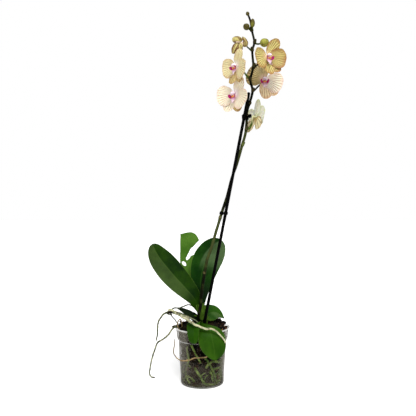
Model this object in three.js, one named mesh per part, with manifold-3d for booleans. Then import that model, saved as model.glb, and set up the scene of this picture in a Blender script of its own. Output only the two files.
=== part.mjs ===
// A moth orchid in a clear nursery pot, its flower spike clipped to a stake.
// Millimetres, +Z up. The origin is the centre of the pot's underside, and the plant
// shows its front to -Y, so +X is to the right of it.

import * as THREE from 'three';
import { mergeVertices } from 'three/addons/utils/BufferGeometryUtils.js';
import Module from 'manifold-3d';

const wasm = await Module();
wasm.setup();

// ---- driving dimensions ----

const CLEARANCE = 0.35; // left between pieces that touch

const POT_HEIGHT = 122;
const RIM_RADIUS = 60;
const WALL = 1;
const FOOT_RADIUS = 42; // the flat disc that the pot stands on
const FOOT_CORNER = 4; // height of the rounded edge around it
const BODY_RADIUS = 46.3; // just above the rounded edge
const SHOULDER_Z = 93; // a step all round, on which stacked pots rest
const SHOULDER_RADIUS = 51.2;
const COLLAR_RADIUS = 54.4; // just above the step
const LIP_Z = 117;
const LIP_RADIUS = 56.6; // where the wall turns out into the lip
const DRAIN_HOLES = 8;
const DRAIN_RADIUS = 3.5;
const DRAIN_CIRCLE = 28;

const POT_ROOT_RADIUS = 2.2;
const ROOT_SPACE = 2 * POT_ROOT_RADIUS + 2 * CLEARANCE; // between the bark and the pot's wall
const BARK_FLOOR = 2.2;
const BARK_EDGE_Z = 113; // where the bark meets the root space at the top
const BARK_TOP_Z = 124;

const STAKE_RADIUS = 2.7;
const STAKE_FOOT = [-8, -10.8, 66];
const STAKE_TOP = [99, -20, 621];
const SPIKE_RADIUS = 2.6;
const SPIKE_TIP_RADIUS = 1.8;
const PEDICEL_RADIUS = 1.3;

const LEAF_THICKNESS = 2.2;
const TEPAL_THICKNESS = 0.8;
const SEPAL_LENGTH = 38;
const SEPAL_HALF_WIDTH = 13.5;
const PETAL_LENGTH = 37;
const PETAL_HALF_WIDTH = 21.5;
const CLAW_START = 1.9; // from the flower's axis to the narrow end of each tepal
const SEPAL_DEPTH = -1.3; // the sepals are the outer whorl, behind the petals
const SEPAL_STEP = 1.4; // the right lower sepal passes behind the left one

// ---- materials ----

function material(color, roughness, metalness = 0) {
  return new THREE.MeshStandardMaterial({ color, roughness, metalness });
}

const LEAF_GREEN = 0x2f5a1c;
const YOUNG_GREEN = 0x4f8a2c;
const SPIKE_GREEN = 0x2c3a17;
const ROOT_CREAM = 0xcfceaa;
const ROOT_BROWN = 0xa0824f;
const ROOT_GREEN = 0x6f8450;
const PETAL_CREAM = 0xf0ebbe;
const LIP_MAGENTA = 0xaa0f6e;
const BUD_GREEN = 0xa3a860;
const BLACK_PLASTIC = 0x101010;
const BARK_BROWN = 0x3a2a20;
const CLEAR_PLASTIC = 0xb9bab6;

// ---- solids ----

const vec = (point) => new THREE.Vector3(...point);

// Six times the volume that the triangles enclose: negative where the faces point in.
function signedVolume(geometry) {
  const at = geometry.attributes.position;
  const index = geometry.index;
  const [a, b, c] = [new THREE.Vector3(), new THREE.Vector3(), new THREE.Vector3()];
  let sum = 0;
  for (let i = 0; i < index.count; i += 3) {
    a.fromBufferAttribute(at, index.getX(i));
    b.fromBufferAttribute(at, index.getX(i + 1));
    c.fromBufferAttribute(at, index.getX(i + 2));
    sum += a.dot(b.cross(c));
  }
  return sum;
}

// The same surface with shared corners merged and every face pointing out.
function closed(geometry) {
  const bare = geometry.clone();
  bare.deleteAttribute('normal');
  bare.deleteAttribute('uv');
  const body = mergeVertices(bare, 1e-3);
  if (signedVolume(body) < 0) {
    const index = body.index;
    for (let i = 0; i < index.count; i += 3) {
      const first = index.getX(i);
      index.setX(i, index.getX(i + 1));
      index.setX(i + 1, first);
    }
  }
  return body;
}

// Moves each corner of a geometry to the place that the given function returns for it.
function warped(geometry, place) {
  const at = geometry.attributes.position;
  const corner = new THREE.Vector3();
  for (let i = 0; i < at.count; i += 1) {
    corner.fromBufferAttribute(at, i);
    const moved = place(corner);
    at.setXYZ(i, moved.x, moved.y, moved.z);
  }
  return closed(geometry);
}

function toSolid(geometry) {
  const body = closed(geometry);
  return new wasm.Manifold(new wasm.Mesh({
    numProp: 3,
    vertProperties: new Float32Array(body.attributes.position.array),
    triVerts: new Uint32Array(body.index.array),
  }));
}

function fromSolid(solid) {
  const mesh = solid.getMesh();
  const geometry = new THREE.BufferGeometry();
  const corners = new THREE.BufferAttribute(new Float32Array(mesh.vertProperties), 3);
  geometry.setAttribute('position', corners);
  geometry.setIndex(new THREE.BufferAttribute(new Uint32Array(mesh.triVerts), 1));
  return geometry;
}

const joined = (...geometries) => fromSolid(
  geometries.map(toSolid).reduce((sum, next) => sum.add(next)),
);
const cut = (geometry, ...tools) => fromSolid(
  tools.map(toSolid).reduce((rest, tool) => rest.subtract(tool), toSolid(geometry)),
);

// A round stem, root or stake through the given points: a closed cylinder whose rings are
// moved onto the curve. radiusAt(t) is its radius, from t = 0 at the first point to 1.
function tube(points, radiusAt, steps, sides = 6) {
  const curve = new THREE.CatmullRomCurve3(points.map(vec), false, 'centripetal');
  const frames = curve.computeFrenetFrames(steps, false);
  return warped(new THREE.CylinderGeometry(1, 1, 1, sides, steps), (corner) => {
    const t = corner.y + 0.5;
    const ring = Math.round(t * steps);
    const radius = radiusAt(t);
    return curve.getPointAt(t)
      .addScaledVector(frames.normals[ring], corner.x * radius)
      .addScaledVector(frames.binormals[ring], corner.z * radius);
  });
}

const taper = (from, to) => (t) => from + (to - from) * t;

// How wide a blade is along its length, as a share of its widest: t^foot (1 - t)^tip.
function outline(foot, tip) {
  const widest = foot / (foot + tip);
  const peak = widest ** foot * (1 - widest) ** tip;
  return (t) => Math.max(0, t) ** foot * Math.max(0, 1 - t) ** tip / peak;
}

// A thin blade: a sphere whose poles are the blade's foot and tip, flattened between two
// faces. place(t, s, out) returns the spot at t along it, s from -1 to 1 across it, and
// out from -1 to 1 through its thickness.
function blade(around, along, place) {
  return warped(new THREE.SphereGeometry(1, around, along), (corner) => {
    const t = (1 - corner.y) / 2;
    const ring = Math.hypot(corner.x, corner.z);
    const s = ring > 1e-6 ? corner.x / ring : 0;
    const out = ring > 1e-6 ? corner.z / ring : 0;
    return place(t, s, out);
  });
}

// A leaf along its midrib. Its upper face looks along face[0] at the foot and face[1] at the
// tip, its halves rise to a shallow V by fold, and its margins bend back by cup.
function leaf({ rib, face, halfWidth, foot, tip, fold = 0, cup = 0, around = 10, along = 11 }) {
  const curve = new THREE.CatmullRomCurve3(rib.map(vec), false, 'centripetal');
  const shape = outline(foot, tip);
  return blade(around, along, (t, s, out) => {
    const tangent = curve.getTangentAt(t);
    const up = vec(face[0]).lerp(vec(face[1]), t);
    const side = new THREE.Vector3().crossVectors(tangent, up).normalize();
    const normal = new THREE.Vector3().crossVectors(side, tangent).normalize();
    const half = halfWidth * shape(t);
    const rise = (fold * Math.abs(s) - cup * s * s) * half;
    return curve.getPointAt(t)
      .addScaledVector(side, s * half)
      .addScaledVector(normal, rise + out * LEAF_THICKNESS / 2);
  });
}

// ---- pot, bark and stake ----

// The pot's outer radius at a height, below the lip.
function wallRadius(z) {
  if (z < SHOULDER_Z) {
    const up = Math.max(0, z - FOOT_CORNER) / (SHOULDER_Z - FOOT_CORNER);
    return BODY_RADIUS + (SHOULDER_RADIUS - BODY_RADIUS) * up;
  }
  const up = (z - SHOULDER_Z) / (LIP_Z - SHOULDER_Z);
  return COLLAR_RADIUS + (LIP_RADIUS - COLLAR_RADIUS) * up;
}

function potShell() {
  const step = 3; // height of the sloping step
  const profile = [
    [0, 0], [FOOT_RADIUS, 0], [BODY_RADIUS - 1.2, 1.4], [BODY_RADIUS, FOOT_CORNER],
    [SHOULDER_RADIUS, SHOULDER_Z], [COLLAR_RADIUS, SHOULDER_Z + step],
    [LIP_RADIUS, LIP_Z], [RIM_RADIUS - 1, POT_HEIGHT - 2.4], [RIM_RADIUS, POT_HEIGHT - 0.6],
    [RIM_RADIUS - 0.6, POT_HEIGHT], [RIM_RADIUS - 2, POT_HEIGHT - 1.2],
    [LIP_RADIUS - WALL, LIP_Z + 0.3], [COLLAR_RADIUS - WALL, SHOULDER_Z + step + 0.4],
    [SHOULDER_RADIUS - WALL, SHOULDER_Z + 0.4], [BODY_RADIUS - WALL, FOOT_CORNER + 0.6],
    [FOOT_RADIUS - 0.6, WALL + 0.2], [0, WALL + 0.2],
  ];
  const shell = new THREE.LatheGeometry(profile.map(([r, z]) => new THREE.Vector2(r, z)), 36);
  shell.rotateX(Math.PI / 2);
  const drains = [];
  for (let i = 0; i < DRAIN_HOLES; i += 1) {
    const angle = (i + 0.5) * 2 * Math.PI / DRAIN_HOLES;
    const drain = new THREE.CylinderGeometry(DRAIN_RADIUS, DRAIN_RADIUS, 4, 12);
    drain.rotateX(Math.PI / 2);
    drain.translate(DRAIN_CIRCLE * Math.cos(angle), DRAIN_CIRCLE * Math.sin(angle), 0.6);
    drains.push(drain);
  }
  return cut(shell, ...drains);
}

const stakeLine = (extra) => tube([STAKE_FOOT, STAKE_TOP], () => STAKE_RADIUS + extra, 1, 8);

// The short stem in the middle of the leaves, narrowing up into the youngest sheath.
const CROWN = [[0, 3, 98], [0, 2, 124], [1, -1, 150], [2, -4, 172]];
const crownStem = (extra) => tube(CROWN, (t) => 8 - 5.6 * t * t + extra, 6, 8);

function barkMound() {
  const atRoot = (z) => [wallRadius(z) - WALL - ROOT_SPACE, z];
  const profile = [
    [0, BARK_FLOOR], [FOOT_RADIUS - ROOT_SPACE, BARK_FLOOR],
    atRoot(FOOT_CORNER + 4), atRoot(SHOULDER_Z - 1),
    [SHOULDER_RADIUS - WALL - ROOT_SPACE, BARK_EDGE_Z], [34, BARK_EDGE_Z + 6], [16, BARK_TOP_Z - 1],
    [0, BARK_TOP_Z],
  ];
  const mound = new THREE.LatheGeometry(profile.map(([r, z]) => new THREE.Vector2(r, z)), 28);
  mound.rotateX(Math.PI / 2);
  return cut(mound, stakeLine(CLEARANCE), crownStem(CLEARANCE));
}

// ---- leaves ----

const LEAVES = {
  leaf_left: {
    rib: [[-5.4, -0.3, 147], [-16, -2, 179], [-37, 1, 204], [-59, 5, 227], [-79, 9, 250],
      [-97, 13, 273], [-110, 16, 298]],
    face: [[0.3, -0.9, 0.3], [0.1, -0.95, 0.2]], halfWidth: 27.5, foot: 0.8, tip: 0.5, fold: 0.16,
  },
  leaf_upper_right: {
    rib: [[2.5, 4.9, 149], [-1, 13, 172], [-5, 28, 211], [4, 38, 252], [17, 43, 274],
      [31, 45, 290], [45, 46, 303]],
    face: [[0.4, -0.9, 0.1], [0.42, -0.85, 0.3]], halfWidth: 34, foot: 1, tip: 0.5, fold: 0.3,
  },
  leaf_front: {
    rib: [[-1, -7.1, 131], [0.6, -22, 132], [7, -40, 132.5], [13, -57, 131], [18, -69, 122],
      [21.5, -75, 108], [25, -77, 90], [27, -77, 70]],
    face: [[0, 0.2, 1], [0, -1, 0.1]], halfWidth: 27.5, foot: 1.25, tip: 0.45, cup: 0.25,
  },
  leaf_front_small: {
    rib: [[-6, -5.6, 124.4], [-14, -22, 130], [-19, -42, 134], [-21, -58, 129],
      [-20.5, -67, 114], [-18.5, -69, 101]],
    face: [[0, 0.2, 1], [-0.2, -1, 0.1]], halfWidth: 11, foot: 0.6, tip: 0.5, fold: 0.35,
  },
  leaf_right: {
    rib: [[5.7, 5.2, 135.5], [15, 15, 144.5], [27, 27, 145], [38, 37, 138.5], [50, 45, 127]],
    face: [[-0.15, -0.8, 0.55], [-0.1, -0.8, 0.6]], halfWidth: 17.5, foot: 0.6, tip: 0.75,
    fold: 0.1,
  },
  leaf_left_narrow: {
    rib: [[-6, -0.8, 139], [-25, -6, 149], [-42, -7, 158], [-56, -7, 163]],
    face: [[0.35, -0.3, 0.87], [0.3, -0.3, 0.87]], halfWidth: 8.5, foot: 0.6, tip: 0.7, fold: 0.15,
  },
};

// The tall pale leaf behind is torn: it has lost a strip along its left margin, and a wedge
// and a hole in its right half.
const TORN_LEAF = {
  rib: [[-1.8, 4.8, 145.5], [-15, 30, 196], [-28, 46, 246], [-34, 53, 286], [-42, 57, 320]],
  face: [[0.1, -0.95, 0.2], [0, -0.97, 0.2]], halfWidth: 30, foot: 1.4, tip: 0.3, fold: 0.09,
};
const TORN_AWAY = [
  [[-9, 303], [-20, 291], [-27, 285], [-31, 276], [-38, 263], [-35, 259], [-31, 262], [-27, 268],
    [-20, 272], [-12, 273], [12, 274], [12, 308]],
  [[-50.7, 332], [-50.7, 262], [-49.5, 240], [-60, 222], [-80, 222], [-80, 332]],
]; // x, z
const TEAR_HOLE = { x: -41.5, z: 252, long: 6.2, wide: 3.6, slant: 48 };

function tornLeaf() {
  const through = 80;
  const wedges = TORN_AWAY.map((corners) => {
    const edge = new THREE.Shape(corners.map(([x, z]) => new THREE.Vector2(x, z)));
    const wedge = new THREE.ExtrudeGeometry(edge, { depth: through, bevelEnabled: false });
    wedge.rotateX(Math.PI / 2);
    wedge.translate(0, through, 0);
    return wedge;
  });
  const hole = new THREE.CylinderGeometry(1, 1, through, 10);
  hole.scale(TEAR_HOLE.long, 1, TEAR_HOLE.wide);
  hole.rotateY(THREE.MathUtils.degToRad(TEAR_HOLE.slant));
  hole.translate(TEAR_HOLE.x, through / 2, TEAR_HOLE.z);
  return cut(leaf(TORN_LEAF), ...wedges, hole);
}

// ---- roots ----

const KNOT = [-67, -37, 161]; // where the high aerial root branches
const BRANCHED_ROOT = [
  { points: [[-8.4, -1.4, 128], [-16, -10, 135], [-25, -21, 143], [-36, -30, 150], [-51, -36, 158],
    KNOT], from: 2.6, to: 2.8 },
  { points: [KNOT, [-56, -42, 158], [-46, -46, 154], [-31, -54, 147], [-16, -61.5, 139.5],
    [-2, -68, 134.5], [9, -72, 132], [20, -75, 132.5], [27, -76, 129.5], [37, -74, 119.5],
    [46.5, -72.5, 107.5], [47.5, -72, 102.5]], from: 3, to: 1.8 },
  { points: [KNOT, [-77, -31, 156], [-83, -30, 152], [-92, -26, 137], [-95, -20, 121], [-96, -14, 106],
    [-99, -8, 93]], from: 1.8, to: 1.2 },
  { points: [KNOT, [-60, -28, 166], [-47, -14, 164], [-29, 0, 168], [-16, 6, 160]],
    from: 1.5, to: 1.2 },
  { points: [KNOT, [-65, -31, 151], [-59, -25, 142], [-53, -20, 132]], from: 1.5, to: 1 },
];
const FLOOR_ROOT = [[-40, -15, 116.7], [-49, -17, 121], [-57, -19, 124.3], [-64, -19, 119],
  [-72, -15, 107], [-84, -10, 96], [-97, -3, 86], [-104, 4, 67], [-111, 12, 45], [-115, 18, 24],
  [-116, 22, 10], [-112, 25, 3], [-106, 27, 1.4]];
const LOOP_ROOT = [[12, -24, 122.6], [14, -40, 121.5], [15, -54, 124.3], [16.5, -61, 124.2],
  [17.5, -64.5, 115], [16, -60, 95], [10, -54, 71], [-1, -55, 69], [-13, -54, 68], [-31, -48, 61],
  [-45, -43, 60], [-55, -32, 64], [-61, -20, 70], [-60, -12, 82], [-59, -8, 95]];
const STUB_ROOT = [[-41.5, -6, 115.8], [-50, -9, 122], [-57.5, -12, 125], [-65, -14, 123]];

function branchedRoot() {
  const branches = BRANCHED_ROOT
    .map(({ points, from, to }) => tube(points, taper(from, to), 2 * points.length));
  const knot = new THREE.SphereGeometry(4, 8, 6);
  knot.translate(...KNOT);
  return joined(knot, ...branches);
}

// Each root inside the pot runs between the wall and the bark: degrees round from the
// front towards +X, and height.
const POT_ROOTS = [
  [[-42, 88], [-41, 74], [-39, 60], [-44, 46], [-52, 32], [-46, 18], [-36, 9]],
  [[-20, 44], [-12, 34], [-2, 24], [6, 12], [18, 8]],
  [[8, 66], [17, 56], [27, 42], [36, 28], [42, 14]],
  [[54, 60], [66, 48], [60, 30], [72, 16], [86, 10]],
  [[128, 74], [140, 56], [150, 40], [144, 22], [160, 10]],
  [[-150, 80], [-144, 70], [-138, 60], [-130, 48], [-132, 34], [-126, 22], [-114, 12]],
];

function potRoot(route) {
  const points = route.map(([degrees, z]) => {
    const angle = THREE.MathUtils.degToRad(degrees);
    const radius = wallRadius(z) - WALL - CLEARANCE - POT_ROOT_RADIUS;
    return [radius * Math.sin(angle), -radius * Math.cos(angle), z];
  });
  return tube(points, () => POT_ROOT_RADIUS, 12);
}

// ---- flower spike ----

const SPIKE = [[-5.8, -6.2, 133], [-8.5, -11, 141], [-7.5, -13.5, 150], [-4, -14, 166],
  [-2, -14, 191], [5, -14, 238], [11, -14, 268],
  [20, -13, 293], [29, -13, 325], [34, -12, 341], [39, -12, 358], [44, -12, 374],
  [53, -11, 401], [64, -10, 443], [73, -11, 468], [79, -12, 488], [85, -13, 510],
  [92, -14, 535], [94.5, -14, 557], [95.5, -14, 582],
  [102, -16, 604], [107, -19, 626], [102, -21, 649], [104, -22, 658], [108, -24, 677], [106, -26, 710],
  [110, -27, 726], [105, -28, 751], [101, -29, 773], [97.5, -30, 782]];

// ---- flowers ----

// A flower's own directions: turn is degrees to the viewer's left, nod is degrees downwards.
function flowerFrame({ centre, turn, nod }) {
  const t = THREE.MathUtils.degToRad(turn);
  const n = THREE.MathUtils.degToRad(nod);
  const level = Math.cos(n);
  const facing = new THREE.Vector3(-Math.sin(t) * level, -Math.cos(t) * level, -Math.sin(n));
  const right = new THREE.Vector3(Math.cos(t), -Math.sin(t), 0);
  const up = new THREE.Vector3().crossVectors(facing, right);
  return (x, y, out) => vec(centre)
    .addScaledVector(right, x)
    .addScaledVector(up, y)
    .addScaledVector(facing, out);
}

// Each tepal's direction is in degrees from the flower's right towards its top; bow is how far
// forward the tepals reach at their tips.
const FLOWERS = [
  { name: 'flower_lower_left', centre: [67.5, -38, 616], turn: 38, nod: 4, size: 1.02, bow: 8,
    dorsal: 50, petals: [187, -35], laterals: [240, 290],
    stem: [[101, -16, 601], [97, -12, 604], [88, -16, 609]] },
  { name: 'flower_mid_left', centre: [69.5, -56, 670], turn: 52, nod: 4, size: 0.96, bow: 6,
    dorsal: 66, petals: [186, -30], laterals: [247, 294],
    stem: [[102, -21, 649], [94, -24, 657], [87, -30, 665]] },
  { name: 'flower_upper_right', centre: [136.5, -45, 693], turn: -28, nod: 0, size: 1, bow: 10,
    dorsal: 60, petals: [200, -10], laterals: [272, 308],
    stem: [[106, -23, 668], [112, -22, 676], [124, -29, 685]] },
  { name: 'flower_mid_right', centre: [134.5, -2, 655], turn: 2, nod: -2, size: 1.05, bow: -2,
    dorsal: 106, petals: [160, -18], laterals: [277, 310],
    stem: [[107, -19, 626], [111, -7, 629], [121, 8, 641]] },
  { name: 'flower_low_right', centre: [115.5, -18, 570], turn: -118, nod: 8, size: 0.95, bow: -4,
    dorsal: 102, petals: [178, 2], laterals: [226, 308],
    stem: [[94, -14, 545], [100, -14, 547], [105, -16, 556]] },
];

const sepalOutline = outline(0.55, 0.5);
const petalOutline = outline(0.56, 0.42);

// One tepal in its flower: it starts beside the axis and runs out in its own direction, on
// the bowl or dome that all of the flower's tepals share.
function tepal(flower, degrees, length, halfWidth, shape, depth) {
  const place = flowerFrame(flower);
  const angle = THREE.MathUtils.degToRad(degrees);
  const [dx, dy] = [Math.cos(angle), Math.sin(angle)];
  return blade(8, 6, (t, s, out) => {
    const along = CLAW_START + t * length * flower.size;
    const across = s * halfWidth * flower.size * shape(t);
    const x = along * dx - across * dy;
    const y = along * dy + across * dx;
    const reach = Math.hypot(x, y) / PETAL_LENGTH;
    return place(x, y, depth + flower.bow * reach * reach + out * TEPAL_THICKNESS / 2);
  });
}

const sepal = (flower, degrees, behind = 0) => tepal(
  flower, degrees, SEPAL_LENGTH, SEPAL_HALF_WIDTH, sepalOutline, SEPAL_DEPTH - behind,
);
const petal = (flower, degrees) => tepal(
  flower, degrees, PETAL_LENGTH, PETAL_HALF_WIDTH, petalOutline, 0,
);

// The lip with the column over it: two upright side lobes on a callus, and a pointed middle
// lobe.
function lip(flower) {
  const place = flowerFrame(flower);
  const lobe = (x, y, out, rx, ry, rout, lean = 0) => warped(new THREE.SphereGeometry(1, 6, 5), (c) => {
    const px = x + c.x * rx + lean * c.z;
    return place(px * flower.size, (y + c.y * ry) * flower.size, out + c.z * rout * flower.size);
  });
  const middle = outline(0.5, 0.9);
  const tongue = blade(6, 4, (t, s, out) => place(
    s * 5.5 * middle(t) * flower.size,
    (-6.5 - 12.5 * t) * flower.size,
    (5 + 9 * t - 6 * t * t + 0.9 * out) * flower.size,
  ));
  return joined(
    lobe(0, -0.4, 5.4, 3.2, 3.4, 4.6),
    lobe(0, -6.4, 5.6, 5, 3.4, 2.8),
    lobe(-5.6, -6.8, 7.4, 2.2, 4.6, 3.4, -1.4),
    lobe(5.6, -6.8, 7.4, 2.2, 4.6, 3.4, 1.4),
    tongue,
  );
}

// The stem's branch to a flower ends between the tepals' narrow ends, behind the column.
const PEDICEL_END = [-9, -4, 1.2];
function pedicel(flower) {
  const place = flowerFrame(flower);
  const points = [...flower.stem, ...PEDICEL_END.map((out) => place(0, 0, out).toArray())];
  return tube(points, () => PEDICEL_RADIUS, 8);
}

const BUDS = [
  { name: 'bud_left', centre: [93, -34, 757], radii: [6.7, 6.4, 6.9],
    stem: [[105, -28, 750], [101, -30.5, 752]] },
  { name: 'bud_upper', centre: [105.5, -36.5, 764], radii: [5, 4.8, 8.6],
    stem: [[105, -28.3, 752], [105.4, -32, 752.5]] },
  { name: 'bud_right', centre: [130, -40, 722], radii: [9.2, 8.6, 9],
    stem: [[110, -27, 725], [117, -31, 722]] },
  { name: 'bud_tip', centre: [95.8, -30.2, 786], radii: [3.8, 3.6, 4.2], stem: null },
];

// Where a bud's stem ends: just short of the bud, on the side that the stem comes from.
function budSeat({ centre, radii, stem }) {
  const away = vec(stem[stem.length - 1]).sub(vec(centre)).normalize();
  const reach = 1 / away.clone().divide(vec(radii)).length();
  return vec(centre).addScaledVector(away, reach + CLEARANCE).toArray();
}

function bud({ centre, radii }) {
  const shape = new THREE.SphereGeometry(1, 10, 8);
  shape.rotateX(Math.PI / 2);
  shape.scale(...radii);
  shape.translate(...centre);
  return shape;
}

// The half-open flower: a hood, a hanging petal and one sepal already turned back.
const OPENING = { centre: [89, -36, 724], radii: [9, 6, 10.5],
  stem: [[106, -26, 709], [102, -30, 710]] };

function openingFlower() {
  const lobe = (centre, radii, tilt) => {
    const shape = new THREE.SphereGeometry(1, 8, 6);
    shape.scale(...radii);
    shape.rotateY(THREE.MathUtils.degToRad(tilt));
    shape.translate(...centre);
    return shape;
  };
  return joined(
    lobe([73.5, -36, 727], [10.5, 9, 9], 10),
    lobe([72.5, -36, 708], [11, 7, 12.5], -20),
    lobe([88.5, -36, 725], [5, 5, 11.5], -34),
    lobe([81, -35, 722], [7, 4, 6], -20),
  );
}

const spikeRadius = (t) => SPIKE_RADIUS + (SPIKE_TIP_RADIUS - SPIKE_RADIUS) * t ** 3;
const spikeTube = (extra) => tube(SPIKE, (t) => spikeRadius(t) + extra, 50);

function flowerSpike() {
  const budStems = [...BUDS, OPENING].filter(({ stem }) => stem)
    .map((one) => tube([...one.stem, budSeat(one)], () => 1.2, 4));
  return joined(spikeTube(0), ...FLOWERS.map(pedicel), ...budStems);
}

// ---- clips ----

const CLIP_RADIUS = 4.6;

// A clip is a collar round the stake and one round the stem, joined side by side.
function clip({ stake, stem, height, arm }) {
  const collar = ([x, y, z]) => {
    const ring = new THREE.CylinderGeometry(CLIP_RADIUS, CLIP_RADIUS, height, 12);
    ring.rotateX(Math.PI / 2);
    ring.translate(x, y, z);
    return ring;
  };
  const parts = [collar(stake), collar(stem)];
  if (arm) {
    parts.push(tube(arm, () => 1.9, 3));
  }
  const [dx, dy] = [stem[0] - stake[0], stem[1] - stake[1]];
  const web = new THREE.BoxGeometry(Math.hypot(dx, dy), 2.4, height);
  web.rotateZ(Math.atan2(dy, dx));
  web.translate((stake[0] + stem[0]) / 2, (stake[1] + stem[1]) / 2, stake[2]);
  return cut(joined(...parts, web), stakeLine(CLEARANCE), spikeTube(CLEARANCE));
}

const LOWER_CLIP = { stake: [50, -17.9, 366], stem: [41.5, -12, 366], height: 6.5 };
const UPPER_CLIP = { stake: [89.3, -19.6, 571], stem: [95, -14, 571], height: 11,
  arm: [[96, -17, 572], [100, -18.5, 573], [104.5, -19, 573]] };

// ---- assembly ----

const group = new THREE.Group();

function add(name, geometry, finish) {
  const mesh = new THREE.Mesh(closed(geometry), finish);
  mesh.name = name;
  group.add(mesh);
}

add('pot', potShell(), material(CLEAR_PLASTIC, 0.2));
add('growing_medium', barkMound(), material(BARK_BROWN, 0.9));
add('stake', stakeLine(0), material(BLACK_PLASTIC, 0.4));
add('crown', crownStem(0), material(YOUNG_GREEN, 0.5));

for (const [name, form] of Object.entries(LEAVES)) {
  add(name, leaf(form), material(LEAF_GREEN, 0.4));
}
add('leaf_torn', tornLeaf(), material(YOUNG_GREEN, 0.45));

add('aerial_root_branched', branchedRoot(), material(ROOT_CREAM, 0.8));
add('aerial_root_floor', tube(FLOOR_ROOT, taper(1.6, 1.3), 34), material(ROOT_CREAM, 0.8));
add('aerial_root_loop', tube(LOOP_ROOT, taper(1.5, 1.1), 36), material(ROOT_BROWN, 0.8));
add('aerial_root_stub', tube(STUB_ROOT, taper(1.6, 1.2), 8), material(ROOT_BROWN, 0.8));
POT_ROOTS.forEach((route, i) => add(`pot_root_${i + 1}`, potRoot(route), material(ROOT_GREEN, 0.7)));

add('flower_spike', flowerSpike(), material(SPIKE_GREEN, 0.5));
add('clip_lower', clip(LOWER_CLIP), material(BLACK_PLASTIC, 0.4));
add('clip_upper', clip(UPPER_CLIP), material(BLACK_PLASTIC, 0.4));

for (const flower of FLOWERS) {
  const { name, dorsal, petals, laterals } = flower;
  const tepals = {
    dorsal_sepal: sepal(flower, dorsal),
    left_sepal: sepal(flower, laterals[0]),
    right_sepal: sepal(flower, laterals[1], SEPAL_STEP),
    left_petal: petal(flower, petals[0]),
    right_petal: petal(flower, petals[1]),
  };
  for (const [part, geometry] of Object.entries(tepals)) {
    add(`${name}_${part}`, geometry, material(PETAL_CREAM, 0.5));
  }
  add(`${name}_lip`, lip(flower), material(LIP_MAGENTA, 0.4));
}
add('flower_opening', openingFlower(), material(BUD_GREEN, 0.5));
for (const one of BUDS) {
  add(one.name, bud(one), material(BUD_GREEN, 0.5));
}

export default group;
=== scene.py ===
# %% [markdown]
# # A moth orchid in a clear nursery pot
#
# The orchid stands in a thin clear pot of bark. Strap leaves and aerial roots grow from a
# short crown, and one long flower spike is clipped to a thin black stake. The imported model
# gives every piece its size and its place. This lesson remakes each piece finely, as a
# surface that is a function of two parameters, and gives it a finish of its own.

# %% The fixed frame
import bmesh
import bpy
import numpy as np
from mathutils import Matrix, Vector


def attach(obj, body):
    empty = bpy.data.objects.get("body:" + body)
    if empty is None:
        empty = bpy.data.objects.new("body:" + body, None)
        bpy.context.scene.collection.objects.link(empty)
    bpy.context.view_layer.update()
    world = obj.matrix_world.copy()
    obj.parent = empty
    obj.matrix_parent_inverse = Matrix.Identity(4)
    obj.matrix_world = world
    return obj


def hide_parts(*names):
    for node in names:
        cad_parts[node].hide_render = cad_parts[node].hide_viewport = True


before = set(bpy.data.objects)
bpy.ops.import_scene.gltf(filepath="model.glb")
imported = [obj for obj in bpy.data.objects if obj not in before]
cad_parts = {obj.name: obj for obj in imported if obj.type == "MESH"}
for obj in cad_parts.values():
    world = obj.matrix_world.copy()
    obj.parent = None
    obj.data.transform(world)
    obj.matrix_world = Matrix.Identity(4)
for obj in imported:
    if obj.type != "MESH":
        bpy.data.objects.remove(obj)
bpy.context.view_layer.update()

MM = 0.001  # the tables below are in millimetres, and Blender works in metres
print("nodes in the frame:", len(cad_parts))

# %% [markdown]
# ## Camera, light and floor
#
# The photograph was taken from about the height of the plant's middle with the camera held
# level, which is why the pot's rim is a thin ellipse and its base nearly a straight line.
# The focal length comes from how fast the pot's ellipses open below eye level. A camera in
# Blender looks down its own -Z, so a quarter turn about X makes it look level along +Y.

# %% Camera
CAMERA_SPOT = (12.3, -1146.0, 377.0)  # mm, in front of the pot and half way up the plant
FOCAL_SHARE = 530.0 / 416.0  # focal length as a share of the picture's width
SENSOR = 36.0  # mm
NEAREST, FARTHEST = 0.05, 60.0  # m, between which the camera sees things

lens = bpy.data.cameras.new("camera")
lens.sensor_width = SENSOR
lens.lens = SENSOR * FOCAL_SHARE
lens.clip_start, lens.clip_end = NEAREST, FARTHEST
camera = bpy.data.objects.new("camera", lens)
camera.location = [v * MM for v in CAMERA_SPOT]
camera.rotation_euler = (np.pi / 2, 0, 0)
bpy.context.scene.collection.objects.link(camera)
bpy.context.scene.camera = camera
bpy.context.scene.view_settings.view_transform = "Standard"
print("lens", round(lens.lens, 2), "mm")

# %% [markdown]
# The light comes from the front and above, a little from the left, as from a big window: a
# sun lamp with so wide an angle that its shadows have no edge. A small soft lamp nearer by
# gives the wax and the wet bark something to shine with. Everything around is white, so a
# white world fills the shadows. It looks whiter to the camera than it shines on the plant,
# which a mix by kind of ray allows, and so the picture's ground is clean and its darks stay.

# %% Light
SUN_STRENGTH, SUN_ANGLE, SUN_WAY = 3.1, 30, (-0.22, 0.8, -1.0)
LAMP_SPOT, LAMP_AIM, LAMP_SIZE = (-1.3, -1.9, 1.2), (0.04, 0, 0.4), 1.1  # m
LAMP_WATTS, LAMP_COLOUR = 9, (1.0, 0.985, 0.96)
WORLD_LIGHT = 0.36  # what the white surroundings give
WORLD_SHOWN = 1.0  # how white they look behind the plant


def add_light(name, kind, way, **settings):
    """A light of the given kind that shines along way."""
    data = bpy.data.lights.new(name, kind)
    for key, value in settings.items():
        setattr(data, key, value)
    light = bpy.data.objects.new(name, data)
    light.rotation_euler = Vector(way).to_track_quat("-Z", "Y").to_euler()
    bpy.context.scene.collection.objects.link(light)
    return light


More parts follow.
